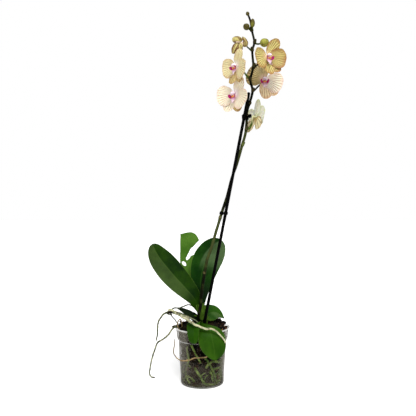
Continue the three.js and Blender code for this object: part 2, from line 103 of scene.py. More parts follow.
add_light("window", "SUN", SUN_WAY, energy=SUN_STRENGTH, angle=np.radians(SUN_ANGLE))
lamp_way = Vector(LAMP_AIM) - Vector(LAMP_SPOT)
lamp = add_light("key", "AREA", lamp_way, size=LAMP_SIZE, energy=LAMP_WATTS, color=LAMP_COLOUR)
lamp.location = LAMP_SPOT

world = bpy.data.worlds.new("white room")
bpy.context.scene.world = world
world.use_nodes = True
sky = world.node_tree
sky.nodes.clear()
path_kind = sky.nodes.new("ShaderNodeLightPath")
either = sky.nodes.new("ShaderNodeMixShader")
sky_out = sky.nodes.new("ShaderNodeOutputWorld")
for slot, strength in ((1, WORLD_LIGHT), (2, WORLD_SHOWN)):
    white = sky.nodes.new("ShaderNodeBackground")
    white.inputs["Strength"].default_value = strength
    white.inputs["Color"].default_value = (1, 1, 1, 1)
    sky.links.new(white.outputs[0], either.inputs[slot])
sky.links.new(path_kind.outputs["Is Camera Ray"], either.inputs["Fac"])
sky.links.new(either.outputs[0], sky_out.inputs["Surface"])
print("lights:", [light.name for light in bpy.data.lights], "and the world")

# %% [markdown]
# ## Helpers for finishes
#
# Every finish here is a Principled shader with a few texture nodes in front of it. One small
# helper adds a node, sets its plain inputs and links the others, so that a finish reads as a
# list of what the surface does. Colours are given as they look on screen, from 0 to 255.

# %% Node helpers
class Finish:
    """A material with its Principled shader, and short ways to add nodes to it."""

    def __init__(self, name):
        self.material = bpy.data.materials.new(name)
        self.material.use_nodes = True
        self.tree = self.material.node_tree
        self.skin = self.tree.nodes["Principled BSDF"]

    def add(self, kind, inputs=None, **settings):
        """Adds a node; an input that is a socket is linked, and any other is set."""
        made = self.tree.nodes.new(kind)
        for key, value in settings.items():
            setattr(made, key, value)
        for key, value in (inputs or {}).items():
            self.put(made.inputs[key], value)
        return made

    def put(self, socket, value):
        """Links value to the socket if it is a socket itself, or else sets it there. A colour
        of three numbers is one as it looks on screen."""
        if isinstance(value, bpy.types.NodeSocket):
            self.tree.links.new(value, socket)
        elif socket.type == "RGBA" and len(value) == 3:
            socket.default_value = rgb(*value)
        else:
            socket.default_value = value

    def mark(self, name):
        """The number that the mesh stores under this name at each corner."""
        return self.add("ShaderNodeAttribute", attribute_name=name).outputs["Fac"]

    def place(self):
        """Where a spot is, in metres, in the object's own axes."""
        return self.add("ShaderNodeTexCoord").outputs["Object"]

    def noise(self, scale, detail=4.0, rough=0.55, vector=None):
        """A cloudy number with about scale blotches to the metre."""
        return self.add("ShaderNodeTexNoise", {
            "Vector": vector or self.place(), "Scale": scale, "Detail": detail,
            "Roughness": rough}).outputs["Fac"]

    def drawn_out(self, *scales):
        """The place with x, y and z each times its own scale: a noise read there at scale 1
        is drawn out along the axis of the smallest."""
        return self.add("ShaderNodeMapping", {
            "Vector": self.place(), "Scale": scales}).outputs["Vector"]

    def sum(self, a, b, kind="ADD", clamp=False):
        """a and b added, or joined by another kind of sum that the Math node knows."""
        return self.add("ShaderNodeMath", {0: a, 1: b}, operation=kind, use_clamp=clamp).outputs[0]

    def times(self, a, b):
        """a times b."""
        return self.sum(a, b, "MULTIPLY")

    def span(self, value, low, high, to_low=0.0, to_high=1.0):
        """value carried from low..high to to_low..to_high with soft ends, and held outside."""
        return self.add("ShaderNodeMapRange", {
            "Value": value, "From Min": low, "From Max": high,
            "To Min": to_low, "To Max": to_high}, interpolation_type="SMOOTHSTEP").outputs["Result"]

    def blend(self, share, a, b):
        """Colour a where share is 0 and colour b where it is 1."""
        made = self.add("ShaderNodeMix", {"Factor": share}, data_type="RGBA")
        self.put(made.inputs[6], a)
        self.put(made.inputs[7], b)
        return made.outputs[2]

    def layers(self, colour, *coats):
        """The colour with coats laid over it in turn: how much, times how strong, and colour."""
        for share, strength, coat in coats:
            colour = self.blend(self.times(share, strength), colour, coat)
        return colour

    def bump(self, height, distance, strength=1.0):
        """Small relief, distance in metres from the lowest height to the highest."""
        made = self.add("ShaderNodeBump", {
            "Height": height, "Distance": distance, "Strength": strength})
        self.put(self.skin.inputs["Normal"], made.outputs["Normal"])

    def skin_is(self, **values):
        """Sets the shader's own inputs. through is how much light passes into the skin."""
        names = {"colour": "Base Color", "rough": "Roughness", "alpha": "Alpha",
                 "gloss": "Specular IOR Level", "through": "Subsurface Weight",
                 "through_scale": "Subsurface Scale", "through_radius": "Subsurface Radius",
                 "sheen": "Sheen Weight"}
        for key, value in values.items():
            self.put(self.skin.inputs[names[key]], value)


def rgb(red, green, blue):
    """A colour as it looks on screen, from 0 to 255, as the shader's linear light."""
    share = np.array([red, green, blue]) / 255
    linear = np.where(share < 0.04045, share / 12.92, ((share + 0.055) / 1.055) ** 2.4)
    return (*linear.tolist(), 1.0)


def darker(colour, share):
    """The screen colour with its light times share, as linear light."""
    return (*(share * v for v in rgb(*colour)[:3]), 1.0)


print("a grey of 128 on screen is", round(rgb(128, 128, 128)[0], 3), "in linear light")

# %% [markdown]
# ## Helpers for shapes
#
# Stems, roots, leaves, petals and the pot are all the same kind of surface: rings of points,
# one after the other along a line, closed with one point at each end. A stem has round
# rings. A leaf has rings so flat that they are its two faces. The pot's rings lie round its
# axis, and follow its profile up the outside and down the inside.

# %% A smooth line through points
def smooth_path(points, count=400):
    """A line through the points whose direction changes smoothly. Between two points it is a
    cubic that leaves each with the slope of the chord across it, weighted by the square root
    of the distances. The result is spaced evenly along its length, as (count, 3)."""
    p = np.asarray(points, float)
    gap = np.sqrt(np.linalg.norm(np.diff(p, axis=0), axis=1))
    more = np.vstack([2 * p[0] - p[1], p, 2 * p[-1] - p[-2]])
    wide = np.concatenate([gap[:1], gap, gap[-1:]])
    u = np.linspace(0, len(p) - 1, 24 * len(p))
    i = np.minimum(u.astype(int), len(p) - 2)
    t = (u - i)[:, None]
    p0, p1, p2, p3 = (more[i + k] for k in range(4))
    d0, d1, d2 = (wide[i + k][:, None] for k in range(3))
    leave = ((p1 - p0) / d0 - (p2 - p0) / (d0 + d1) + (p2 - p1) / d1) * d1
    arrive = ((p2 - p1) / d1 - (p3 - p1) / (d1 + d2) + (p3 - p2) / d2) * d1
    line = ((2 * t**3 - 3 * t**2 + 1) * p1 + (t**3 - 2 * t**2 + t) * leave
            + (3 * t**2 - 2 * t**3) * p2 + (t**3 - t**2) * arrive)
    far = np.concatenate([[0], np.cumsum(np.linalg.norm(np.diff(line, axis=0), axis=1))])
    return np.stack([np.interp(np.linspace(0, far[-1], count), far, line[:, k])
                     for k in range(3)], axis=1)


def along(path, t):
    """The spots at the shares t of a path's length."""
    share = np.linspace(0, 1, len(path))
    return np.stack([np.interp(t, share, path[:, k]) for k in range(3)], axis=-1)


def unit(v):
    """Each vector with its length made 1."""
    return v / np.maximum(np.linalg.norm(v, axis=-1, keepdims=True), 1e-12)


def directions(path, t):
    """Which way the path runs at the shares t of its length."""
    return unit(along(np.gradient(path, axis=0), t))


quarter = smooth_path([(1, 0, 0), (np.sqrt(0.5), np.sqrt(0.5), 0), (0, 1, 0)])
print("a quarter circle through 3 points strays from the true one by",
      round(float(np.abs(np.linalg.norm(quarter, axis=1) - 1).max()), 3), "of its radius")

# %% [markdown]
# A mesh is a list of points and a list of faces that name their corners. Every shape here is
# a closed grid of rings, so one function writes the faces for all, and turns them over if
# they would face inwards. The numbers that a finish reads, such as how far along a leaf a
# spot is, are stored with the points as attributes. Blender then blends them over each face.

# %% Closed rings and the pieces made of them
def closed_rings(rings, first, last, **marks):
    """rings is (n, m, 3): n rings of m points. Neighbours are joined by four-sided faces, and
    the points first and last close the ends. marks are numbers at each point, as (n, m)."""
    n, m = rings.shape[:2]
    verts = np.vstack([rings.reshape(-1, 3), np.reshape(first, (1, 3)), np.reshape(last, (1, 3))])
    a = np.arange(n * m).reshape(n, m)
    b = np.roll(a, -1, axis=1)
    quads = np.stack([a[:-1], b[:-1], b[1:], a[1:]], axis=-1).reshape(-1, 4)
    start = np.stack([np.full(m, n * m), b[0], a[0]], axis=-1)
    end = np.stack([np.full(m, n * m + 1), a[-1], b[-1]], axis=-1)
    tris = np.vstack([start, end])
    corners = np.vstack([quads[:, :3], quads[:, [0, 2, 3]], tris])
    p, q, r = (verts[corners[:, k]] for k in range(3))
    if np.einsum("ij,ij->", p, np.cross(q, r)) < 0:
        quads, tris = quads[:, ::-1], tris[:, ::-1]
    full = {}
    for name, value in marks.items():
        value = np.broadcast_to(np.asarray(value, float), (n, m))
        full[name] = np.concatenate([value.ravel(), [value[0].mean(), value[-1].mean()]])
    return {"verts": verts, "quads": quads, "tris": tris, "marks": full}


def bare_object(name, shapes):
    """One mesh object of several closed shapes, in metres, with smooth faces."""
    shift = np.cumsum([0] + [len(shape["verts"]) for shape in shapes])
    verts = np.vstack([shape["verts"] for shape in shapes]) * MM
    faces = []
    for step, shape in zip(shift, shapes):
        faces += (shape["quads"] + step).tolist() + (shape["tris"] + step).tolist()
    mesh = bpy.data.meshes.new(name)
    mesh.from_pydata(verts, [], faces)
    mesh.shade_smooth()
    for mark in sorted(set().union(*(shape["marks"] for shape in shapes))):
        stored = mesh.attributes.new(mark, "FLOAT", "POINT")
        stored.data.foreach_set("value", np.concatenate(
            [shape["marks"].get(mark, np.zeros(len(shape["verts"]))) for shape in shapes]))
    made = bpy.data.objects.new(name, mesh)
    bpy.context.scene.collection.objects.link(made)
    return made


def piece(name, shapes, finish, stands_for=None):
    """A finished piece of the orchid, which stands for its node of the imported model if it
    has one. shapes is a list of closed shapes or an object that is made already."""
    made = bare_object(name, shapes) if isinstance(shapes, list) else shapes
    made.data.materials.clear()
    made.data.materials.append(finish.material)
    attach(made, "root")
    if stands_for:
        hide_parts(stands_for)


def marked(shape, **marks):
    """The shape with these marks in place of its own: numbers, or arrays of one per point."""
    count = len(shape["verts"])
    shape["marks"] = {name: np.broadcast_to(np.asarray(value, float), (count,))
                      for name, value in marks.items()}
    return shape


def cut_away(target, tool):
    """Takes a closed object out of another, and removes it."""
    if tool.name not in bpy.context.scene.collection.objects:
        bpy.context.scene.collection.objects.link(tool)
    step = target.modifiers.new("cut", "BOOLEAN")
    step.operation, step.object, step.solver = "DIFFERENCE", tool, "EXACT"
    view = target.evaluated_get(bpy.context.evaluated_depsgraph_get())
    result = bpy.data.meshes.new_from_object(view)
    target.modifiers.clear()
    target.data = result
    bpy.data.objects.remove(tool)


# %% [markdown]
# Two kinds of rings make nearly everything: round ones for stems, roots, stake and clips, and
# flat ones for leaves and petals. Nothing that grew is even, so a smooth random height is
# needed too. Here it is a mean of sine waves that run in random directions, because it can be
# worked out at any spot and is the same on every run.

# %% Tubes, blades and waves
ROUND_END = 0.6  # how far a rounded end stands out, as a share of the radius there


def tube(points, radius, rings=60, around=16, wobble=None, round_ends=True, **marks):
    """A round body carried along a path. radius(t) is its radius at the share t of its length.
    Its rings are drawn on two directions square to the path, the first of them square to the
    direction that the path runs along least. At each end a half circle of smaller rings
    rounds it off. wobble(spots) is added to the radius, in mm. A mark may be a function of t."""
    path = smooth_path(points)
    flow = unit(np.gradient(path, axis=0))
    least = np.linalg.svd(flow, full_matrices=False)[2][-1]
    t = np.linspace(0, 1, rings)
    ends = 6 if round_ends else 1
    turn = np.linspace(0, np.pi / 2, ends + 1)[1:] if round_ends else np.array([np.pi / 2])
    middle, ahead, r = along(path, t), directions(path, t), radius(t)
    before = middle[:1] - ahead[:1] * (r[0] * np.cos(turn))[:, None] * ROUND_END
    after = middle[-1:] + ahead[-1:] * (r[-1] * np.cos(turn[::-1]))[:, None] * ROUND_END
    middle = np.vstack([before, middle[1:-1], after])
    ahead = np.vstack([np.repeat(ahead[:1], ends, 0), ahead[1:-1], np.repeat(ahead[-1:], ends, 0)])
    r = np.concatenate([r[0] * np.sin(turn), r[1:-1], r[-1] * np.sin(turn[::-1])])
    share = np.concatenate([np.zeros(ends), t[1:-1], np.ones(ends)])
    side = unit(np.cross(ahead, least))
    other = np.cross(ahead, side)
    angle = np.linspace(0, 2 * np.pi, around, endpoint=False)
    ray = side[:, None] * np.cos(angle)[:, None] + other[:, None] * np.sin(angle)[:, None]
    rings3 = middle[:, None] + ray * r[:, None, None]
    if wobble is not None:
        rings3 = rings3 + ray * (wobble(rings3) * (r / r.max())[:, None])[..., None]
    marks = {name: value(share[:, None]) if callable(value) else value
             for name, value in marks.items()}
    marks.setdefault("lengthwise", share[:, None])
    start, end = middle[0], middle[-1]
    if round_ends:
        start = along(path, np.array([0.0]))[0] - ahead[0] * r[ends] * ROUND_END
        end = along(path, np.array([1.0]))[0] + ahead[-1] * r[-ends - 1] * ROUND_END
    return closed_rings(rings3, start, end, **marks)


def waves(spots, size, seed, layers=14):
    """A smooth random height from -1 to 1 at each spot: the mean of sine waves that run in
    random directions, each about size mm long."""
    dice = np.random.default_rng(seed)
    run = unit(dice.normal(size=(layers, 3))) * (2 * np.pi / size) * dice.uniform(0.7, 1.6, (layers, 1))
    phase = dice.uniform(0, 2 * np.pi, layers)
    return np.sin(spots @ run.T + phase).mean(axis=-1) * 1.8


def outline(foot, tip):
    """How wide a blade is along its length, as a share of its widest: t to the power foot,
    times 1 - t to the power tip, over the highest value that this reaches."""
    widest = foot / (foot + tip)
    peak = widest**foot * (1 - widest) ** tip
    return lambda t: t**foot * (1 - t) ** tip / peak


def blade_grid(rows, around):
    """The shares t along a blade, close together at both ends, and for each ring the share s
    across from -1 to 1 and the side, from -1 at the back to 1 at the front."""
    t = (1 - np.cos(np.linspace(0, np.pi, rows + 2)[1:-1])) / 2
    angle = np.linspace(0, 2 * np.pi, around, endpoint=False)
    return t[:, None], np.cos(angle)[None], np.sin(angle)[None]


def unit_ball(rows, around):
    """Points on a ball of radius 1, in rings from its top to its bottom without the poles."""
    t = np.linspace(0, np.pi, rows)[1:-1][:, None]
    a = np.linspace(0, 2 * np.pi, around, endpoint=False)[None]
    return np.stack([np.sin(t) * np.cos(a), np.sin(t) * np.sin(a), np.cos(t) * np.ones_like(a)], -1)


print("a ball of 9 rings of 12 points:", unit_ball(11, 12).shape)

# %% [markdown]
# ## The floor
#
# A white sheet of card, so large that its edge isn't seen. It glows a little to the camera
# alone, so that it meets the white behind it without a line, and still takes the plant's
# soft shadow. It belongs to the picture and not to the plant.

# %% Floor
FLOOR_HALF, FLOOR_GLOW = 14.0, 0.45  # m, and how brightly it glows to the camera
floor_finish = Finish("white card")
floor_finish.skin_is(colour=floor_finish.blend(
    floor_finish.noise(3.0), (250, 250, 250), (246, 246, 246)), rough=0.8, gloss=0.1)
seen = floor_finish.add("ShaderNodeLightPath").outputs["Is Camera Ray"]
floor_finish.put(floor_finish.skin.inputs["Emission Color"], (1, 1, 1, 1))
floor_finish.put(floor_finish.skin.inputs["Emission Strength"], floor_finish.times(seen, FLOOR_GLOW))
floor_corners = [(x * FLOOR_HALF, y * FLOOR_HALF, 0) for x, y in ((-1, -1), (1, -1), (1, 1), (-1, 1))]
floor_mesh = bpy.data.meshes.new("floor")
floor_mesh.from_pydata(floor_corners, [], [(0, 1, 2, 3)])
floor_mesh.materials.append(floor_finish.material)
floor = bpy.data.objects.new("floor", floor_mesh)
bpy.context.scene.collection.objects.link(floor)
print("floor:", 2 * FLOOR_HALF, "m across")

# %% [markdown]
# ## The pot
#
# A nursery pot is drawn from one thin sheet of clear plastic. Its wall leans out, steps out
# once near the top so that stacked pots don't jam, and turns over into a rolled lip. The
# shape is a profile carried round the axis, up the outside and down the inside, with its
# corners rounded the way soft sheet settles into a mould. Drain holes are cut through the
# floor with a Boolean modifier, whose result is kept and the modifier dropped.

# %% Pot shape
RIM_Z, RIM_R, WALL = 122.0, 60.0, 1.0
STEP_Z, STEP_R, COLLAR_R = 93.0, 51.2, 54.4
BODY_R, FOOT_R, LIP_Z, LIP_R = 46.3, 42.0, 117.0, 56.6
FLOOR_Z = WALL + 0.2
POT_AROUND, OUT_OF_ROUND = 144, 0.35
DRAINS, DRAIN_R, DRAIN_CIRCLE = 8, 3.5, 28.0


def round_corners(profile, radius, steps=5):
    """Each inner corner of the profile is replaced by a curve that starts and ends at most
    radius away from it: a quadratic one, pulled towards the corner."""
    p = np.asarray(profile, float)
    before, here, after = p[:-2], p[1:-1], p[2:]
    back, on = before - here, after - here
    far_back, far_on = (np.linalg.norm(v, axis=1, keepdims=True) for v in (back, on))
    a = here + back / far_back * np.minimum(radius, 0.45 * far_back)
    b = here + on / far_on * np.minimum(radius, 0.45 * far_on)
    t = np.linspace(0, 1, steps)[None, :, None]
    bend = (1 - t) ** 2 * a[:, None] + 2 * t * (1 - t) * here[:, None] + t**2 * b[:, None]
    return np.vstack([p[:1], bend.reshape(-1, 2), p[-1:]])


def wall_radius(z):
    """The pot's outer radius below the lip: two straight slopes with a step between them."""
    low = BODY_R + (STEP_R - BODY_R) * np.clip((z - 4) / (STEP_Z - 4), 0, 1)
    high = COLLAR_R + (LIP_R - COLLAR_R) * (z - STEP_Z) / (LIP_Z - STEP_Z)
    return np.where(z < STEP_Z, low, high)


pot_profile = round_corners([
    (0, 0), (20, 0), (FOOT_R - 1, 0), (BODY_R - 1, 1.1), (BODY_R, 4), (47.8, 32), (49.5, 62),
    (STEP_R, STEP_Z), (COLLAR_R, STEP_Z + 3), (LIP_R, LIP_Z), (RIM_R - 1, RIM_Z - 2.4),
    (RIM_R, RIM_Z - 0.6), (RIM_R - 0.6, RIM_Z), (RIM_R - 2, RIM_Z - 1.2), (LIP_R - WALL, LIP_Z + 0.3),
    (COLLAR_R - WALL, STEP_Z + 3.4), (STEP_R - WALL, STEP_Z + 0.4), (48.5, 62), (46.8, 32),
    (BODY_R - WALL, 4.8), (FOOT_R - 2, FLOOR_Z), (20, FLOOR_Z), (0, FLOOR_Z)], 3.0)


def lathe(profile, around):
    """The profile's points, as radius and height, carried round the axis, without its ends."""
    a = np.linspace(0, 2 * np.pi, around, endpoint=False)
    r, z = profile[1:-1, 0][:, None], profile[1:-1, 1][:, None]
    return np.stack([r * np.cos(a), r * np.sin(a), np.broadcast_to(z, (len(z), around))], axis=-1)


pot_rings = lathe(pot_profile, POT_AROUND)
lathe_r, lathe_z = pot_profile[1:-1, 0][:, None], pot_profile[1:-1, 1][:, None]
# formed sheet is never quite round: the wall wanders by a few tenths of a millimetre
sway = OUT_OF_ROUND * waves(pot_rings, 60, 5) * np.clip((lathe_z - 6) / 20, 0, 1) * (lathe_z < 110)
pot_rings[..., :2] *= (1 + sway / np.maximum(lathe_r, 20))[..., None]
pot = bare_object("pot_shell", [closed_rings(
    pot_rings, (0, 0, 0), (0, 0, FLOOR_Z), height=lathe_z / RIM_Z)])

drain_turn = (np.arange(DRAINS) + 0.5) * 2 * np.pi / DRAINS
drains = [tube([(DRAIN_CIRCLE * np.cos(a), DRAIN_CIRCLE * np.sin(a), -3),
                (DRAIN_CIRCLE * np.cos(a), DRAIN_CIRCLE * np.sin(a), 5)],
               lambda t: np.full_like(t, DRAIN_R), 4, 32, round_ends=False) for a in drain_turn]
cut_away(pot, bare_object("drains", drains))
print("pot faces:", len(pot.data.polygons))

# %% [markdown]
# Clear sheet isn't invisible: what shows is the dirt on it and its edges. The wall could be
# glass with a dirt map over it, but light through two walls of glass takes very long to come
# clean, so the finish is a film whose alpha says how much of it there is. Water has dried in
# streaks on the two front sides, mist hangs inside the lower half, algae has greened the
# foot, a painted highlight whitens the lip and the step, and every spot that is seen at a
# glancing angle shows paler.

# %% Pot finish
clear = Finish("clear pot plastic")
spot = clear.place()
side_of = clear.add("ShaderNodeSeparateXYZ", {"Vector": spot}).outputs
height = clear.mark("height")  # as a share of the pot's own
streak = clear.noise(1.0, 2.0, 0.5, clear.drawn_out(110.0, 110.0, 9.0))
cloud = clear.noise(42.0, 2.0, 0.5, spot)

dried = clear.sum(clear.span(side_of["X"], -0.020, -0.040), clear.span(side_of["X"], 0.030, 0.046))
for limit in (clear.span(side_of["Y"], 0.024, 0.004), clear.span(height, 0.1, 0.45, 0.25, 1.0),
              clear.span(streak, 0.25, 0.75, 0.75, 1.0)):
    dried = clear.times(dried, limit)
mist = clear.times(clear.span(height, 0.52, 0.34), clear.span(cloud, 0.35, 0.6, 0.5, 1.0))
algae = clear.span(height, 0.11, 0.02)
# painted highlights: a white band along the lip and a thin white line at the step
painted_lip_highlight = clear.span(height, 0.955, 0.985)
painted_step_highlight = clear.times(clear.span(height, 0.762, 0.775), clear.span(height, 0.795, 0.782))
off_ledge = clear.sum(clear.span(height, 0.775, 0.75), clear.span(height, 0.785, 0.81), clamp=True)
glance = clear.add("ShaderNodeLayerWeight", {"Blend": 0.32}).outputs["Facing"]
edge_on = clear.times(clear.sum(glance, 3.0, "POWER"), off_ledge)

solid = 0.012  # how solid a clean wall looks, to which each kind of dirt, the glancing edges and the painted highlights add a share
for dirt_and_highlight, share in ((dried, 0.42), (mist, 0.15), (painted_lip_highlight, 0.4), (painted_step_highlight, 0.06),
                    (edge_on, 0.5), (algae, 0.35)):
    solid = clear.sum(solid, clear.times(dirt_and_highlight, share), clamp=True)
film = clear.layers(
    (94, 88, 76), (dried, 1.0, (128, 124, 112)), (algae, 0.9, (62, 64, 38)),
    # painted highlight: the lip and the step are drawn near white
    (clear.sum(painted_lip_highlight, painted_step_highlight, clamp=True), 1.0, (232, 232, 228)))
clear.skin_is(colour=film, rough=0.35, alpha=solid, gloss=0.2)
clear.bump(clear.noise(50.0, 2.0, 0.4, spot), 0.0002, 0.3)
piece("pot_shell", pot, clear, "pot")
print("pot finish:", len(clear.tree.nodes), "nodes")

# %% [markdown]
# ## The bark
#
# Orchids root in coarse chips of bark. Through the wall they show as a dark crowd of broken
# faces with black gaps between them. Modelling each chip would cost far too much inside the
# pot, so the mound is one surface split into cells: each spot belongs to its nearest seed,
# each cell is sunk and tilted by its own random amount, and it drops into a gap where two
# cells are equally near.

# %% Chips as cells of one surface
def chip_cells(spots, outward, seeds, seed, lift, tilt, gap_depth, gap_width):
    """Moves spots along outward. A cell's height is its own random lift plus a slope across
    it, and falls by gap_depth where the two nearest seeds are almost equally far: the
    distances to them are squared as |a|^2 + |b|^2 - 2 a.b, and differ by under gap_width."""
    dice = np.random.default_rng(seed)
    flat = spots.reshape(-1, 3).astype(np.float32)
    near = (flat**2).sum(1)[:, None] + (seeds**2).sum(1)[None] - 2 * flat @ seeds.T.astype(np.float32)
    two = np.argpartition(near, 1, axis=1)[:, :2]
    dist = np.sqrt(np.maximum(np.take_along_axis(near, two, axis=1), 0))
    swap = dist[:, 0] > dist[:, 1]
    two[swap], dist[swap] = two[swap][:, ::-1], dist[swap][:, ::-1]
    own = two[:, 0]
    rise = dice.uniform(*lift, len(seeds))[own]
    lean = (dice.normal(size=(len(seeds), 3)) * tilt)[own]
    rise = rise + (lean * (flat - seeds[own])).sum(1)
    crack = 1 - np.clip((dist[:, 1] - dist[:, 0]) / gap_width, 0, 1)
    rise = rise - gap_depth * crack**1.5
    tone = dice.uniform(0, 1, len(seeds))[own]
    shape = spots.shape[:-1]
    moved = spots + outward * rise.reshape(*shape, 1)
    return moved, tone.reshape(shape), crack.reshape(shape)


BARK_ROWS, BARK_AROUND, BARK_CELLS = 150, 200, 900
BARK_LOW, BARK_CLEAR = 1.5, 1.4  # mm above the pot's underside, and clear of its wall
bark_profile = round_corners([
    (0, 1.7), (41.5, 1.7), (44.2, 4.6), (48.2, 91), (51.6, 97), (52.6, 112.5), (47, 116.4),
    (34, 119.6), (16, 123.2), (0, 124.2)], 4.0)
bark_line = smooth_path(np.column_stack([bark_profile, np.zeros(len(bark_profile))]), BARK_ROWS)
bark_rings = lathe(bark_line, BARK_AROUND)
slope = np.gradient(bark_line, axis=0)
bark_out = unit(lathe(np.column_stack([slope[:, 1], -slope[:, 0]]), BARK_AROUND))
bark_dice = np.random.default_rng(11)
pick = (bark_dice.integers(0, BARK_ROWS - 2, BARK_CELLS),
        bark_dice.integers(0, BARK_AROUND, BARK_CELLS))
bark_seeds = bark_rings[pick] + bark_dice.normal(0, 2.0, (BARK_CELLS, 3))
bark_rings, bark_tone, bark_crack = chip_cells(
    bark_rings, bark_out, bark_seeds, seed=12, lift=(-3.0, 0.0), tilt=0.14, gap_depth=2.8, gap_width=2.0)
bark_rings[..., 2] = np.maximum(bark_rings[..., 2], BARK_LOW)
inside = wall_radius(bark_rings[..., 2]) - WALL - BARK_CLEAR
bark_reach = np.hypot(bark_rings[..., 0], bark_rings[..., 1])
bark_rings[..., :2] *= np.minimum(1, inside / np.maximum(bark_reach, 1))[..., None]
bark_mound = closed_rings(bark_rings, (0, 0, 1.8), (0, 0, 123), tone=bark_tone, crack=bark_crack)
print("bark cells:", len(bark_seeds), "faces:", len(bark_mound["quads"]))

# %% [markdown]
# The chips that lie loose on top are seen one by one, so they are real pieces: thick flakes
# with uneven edges, and among them pale splinters. They are scattered by a seeded random, so
# that every run gives the same mound, and lie higher in three heaps.

# %% Loose chips
CHIPS, SPLINTERS = 340, 60
HEAPS = [(36, 26, 7.5), (18, 34, 12.5), (-43, 4, 14.0)]  # x, y, and how high they rise
HEAP_REACH = 20.0
CHIP_FROM, CHIP_BREADTH = 10.0, 39.0  # the ring that they lie in, from the pot's axis
MOUND_TOP = [0, 16, 34, 48], [123.2, 122.6, 119.4, 116.0]  # reach from the axis, and height


def turn_about(axis, angle):
    """The matrix that turns by angle about x, y or z, given as 0, 1 or 2."""
    i, j = (axis + 1) % 3, (axis + 2) % 3
    made = np.eye(3)
    made[i, i] = made[j, j] = np.cos(angle)
    made[j, i], made[i, j] = np.sin(angle), -np.sin(angle)
    return made


def chip(dice, low, high, tilt, tones):
    """One flake: a ball made boxy by a power under 1, squashed to a length, a width and a
    thickness between low and high, with its corners pushed in and out, turned and tilted at
    random on a spot of the mound. The square root spreads the spots evenly over it."""
    ball = unit_ball(7, 9)
    boxy = np.sign(ball) * np.abs(ball) ** 0.55
    size = dice.uniform(low, high)
    flake = boxy * size * (1 + dice.uniform(-0.16, 0.16, boxy.shape[:2]))[..., None]
    ends = np.array([[0, 0, size[2]], [0, 0, -size[2]]]) * 0.95
    yaw, lean = dice.uniform(0, 2 * np.pi), dice.normal(0, tilt, 2)
    turned = turn_about(2, yaw) @ turn_about(0, lean[0]) @ turn_about(1, lean[1])
    reach, way = CHIP_FROM + CHIP_BREADTH * np.sqrt(dice.uniform()), dice.uniform(0, 2 * np.pi)
    x, y = reach * np.cos(way), reach * np.sin(way)
    heaped = sum(top * np.exp(-((x - hx) ** 2 + (y - hy) ** 2) / HEAP_REACH**2) for hx, hy, top in HEAPS)
    lie = np.interp(reach, *MOUND_TOP) + dice.uniform(-0.5, 2.5)
    at = np.array([x, y, lie + heaped * dice.uniform(0, 1)])
    return closed_rings(flake @ turned.T + at, ends[0] @ turned.T + at, ends[1] @ turned.T + at,
                        tone=dice.uniform(*tones), crack=0.0)


chip_dice = np.random.default_rng(21)
chips = [chip(chip_dice, (4, 3, 1.2), (9, 5.5, 2.6), 0.35, (0, 0.98)) for _ in range(CHIPS)]
chips += [chip(chip_dice, (3, 0.7, 0.5), (7, 1.2, 0.9), 1.1, (1.1, 1.2)) for _ in range(SPLINTERS)]
print("loose chips:", len(chips), "of", len(chips[0]["quads"]) + len(chips[0]["tris"]), "faces")

# %% [markdown]
# Wet bark is nearly black, and hardly two chips are the same. Each has stored one number for
# its tone, which the finish turns into a colour from black-brown to tan, and pale for the
# splinters. A noise drawn out upwards gives the fibres, a cloudy one a touch of moss, and
# the gaps between chips are painted near black as shade.

# %% Bark finish
bark = Finish("wet bark")
tone, crack = bark.mark("tone"), bark.mark("crack")
fibre = bark.noise(1.0, 5.0, 0.7, bark.drawn_out(420.0, 420.0, 130.0))
chip_colour = bark.layers(
    (9, 7, 6),
    (bark.span(tone, 0.3, 0.9), 1.0, (38, 23, 14)),
    (bark.span(tone, 0.93, 0.97), 1.0, (92, 58, 32)),
    (bark.span(tone, 1.02, 1.08), 1.0, (182, 142, 96)),
    (bark.span(fibre, 0.45, 0.75), 0.5, (24, 18, 14)),
    (bark.span(bark.noise(45.0), 0.52, 0.7), 0.35, (34, 38, 18)),
    # painted shade: the gaps between chips are drawn near black
    (bark.span(crack, 0.1, 0.8), 1.0, (4, 3, 3)))
bark.skin_is(colour=chip_colour, rough=bark.span(fibre, 0.3, 0.7, 0.6, 0.9), gloss=0.06)
bark.bump(fibre, 0.0008, 0.7)
piece("bark", [bark_mound] + chips, bark, "growing_medium")
print("bark finish:", len(bark.tree.nodes), "nodes")

# %% [markdown]
# ## Leaves
#
# An orchid leaf is a thick waxy strap, folded a little along its midrib. Each one starts as
# a line for the midrib, a direction that its upper face looks in, and a width that changes
# along it. The points across a leaf are s, from -1 at one margin to 1 at the other, so its
# long veins are simply the lines where s stays the same.

# %% Leaf shape
LEAF_THICKNESS = 2.2


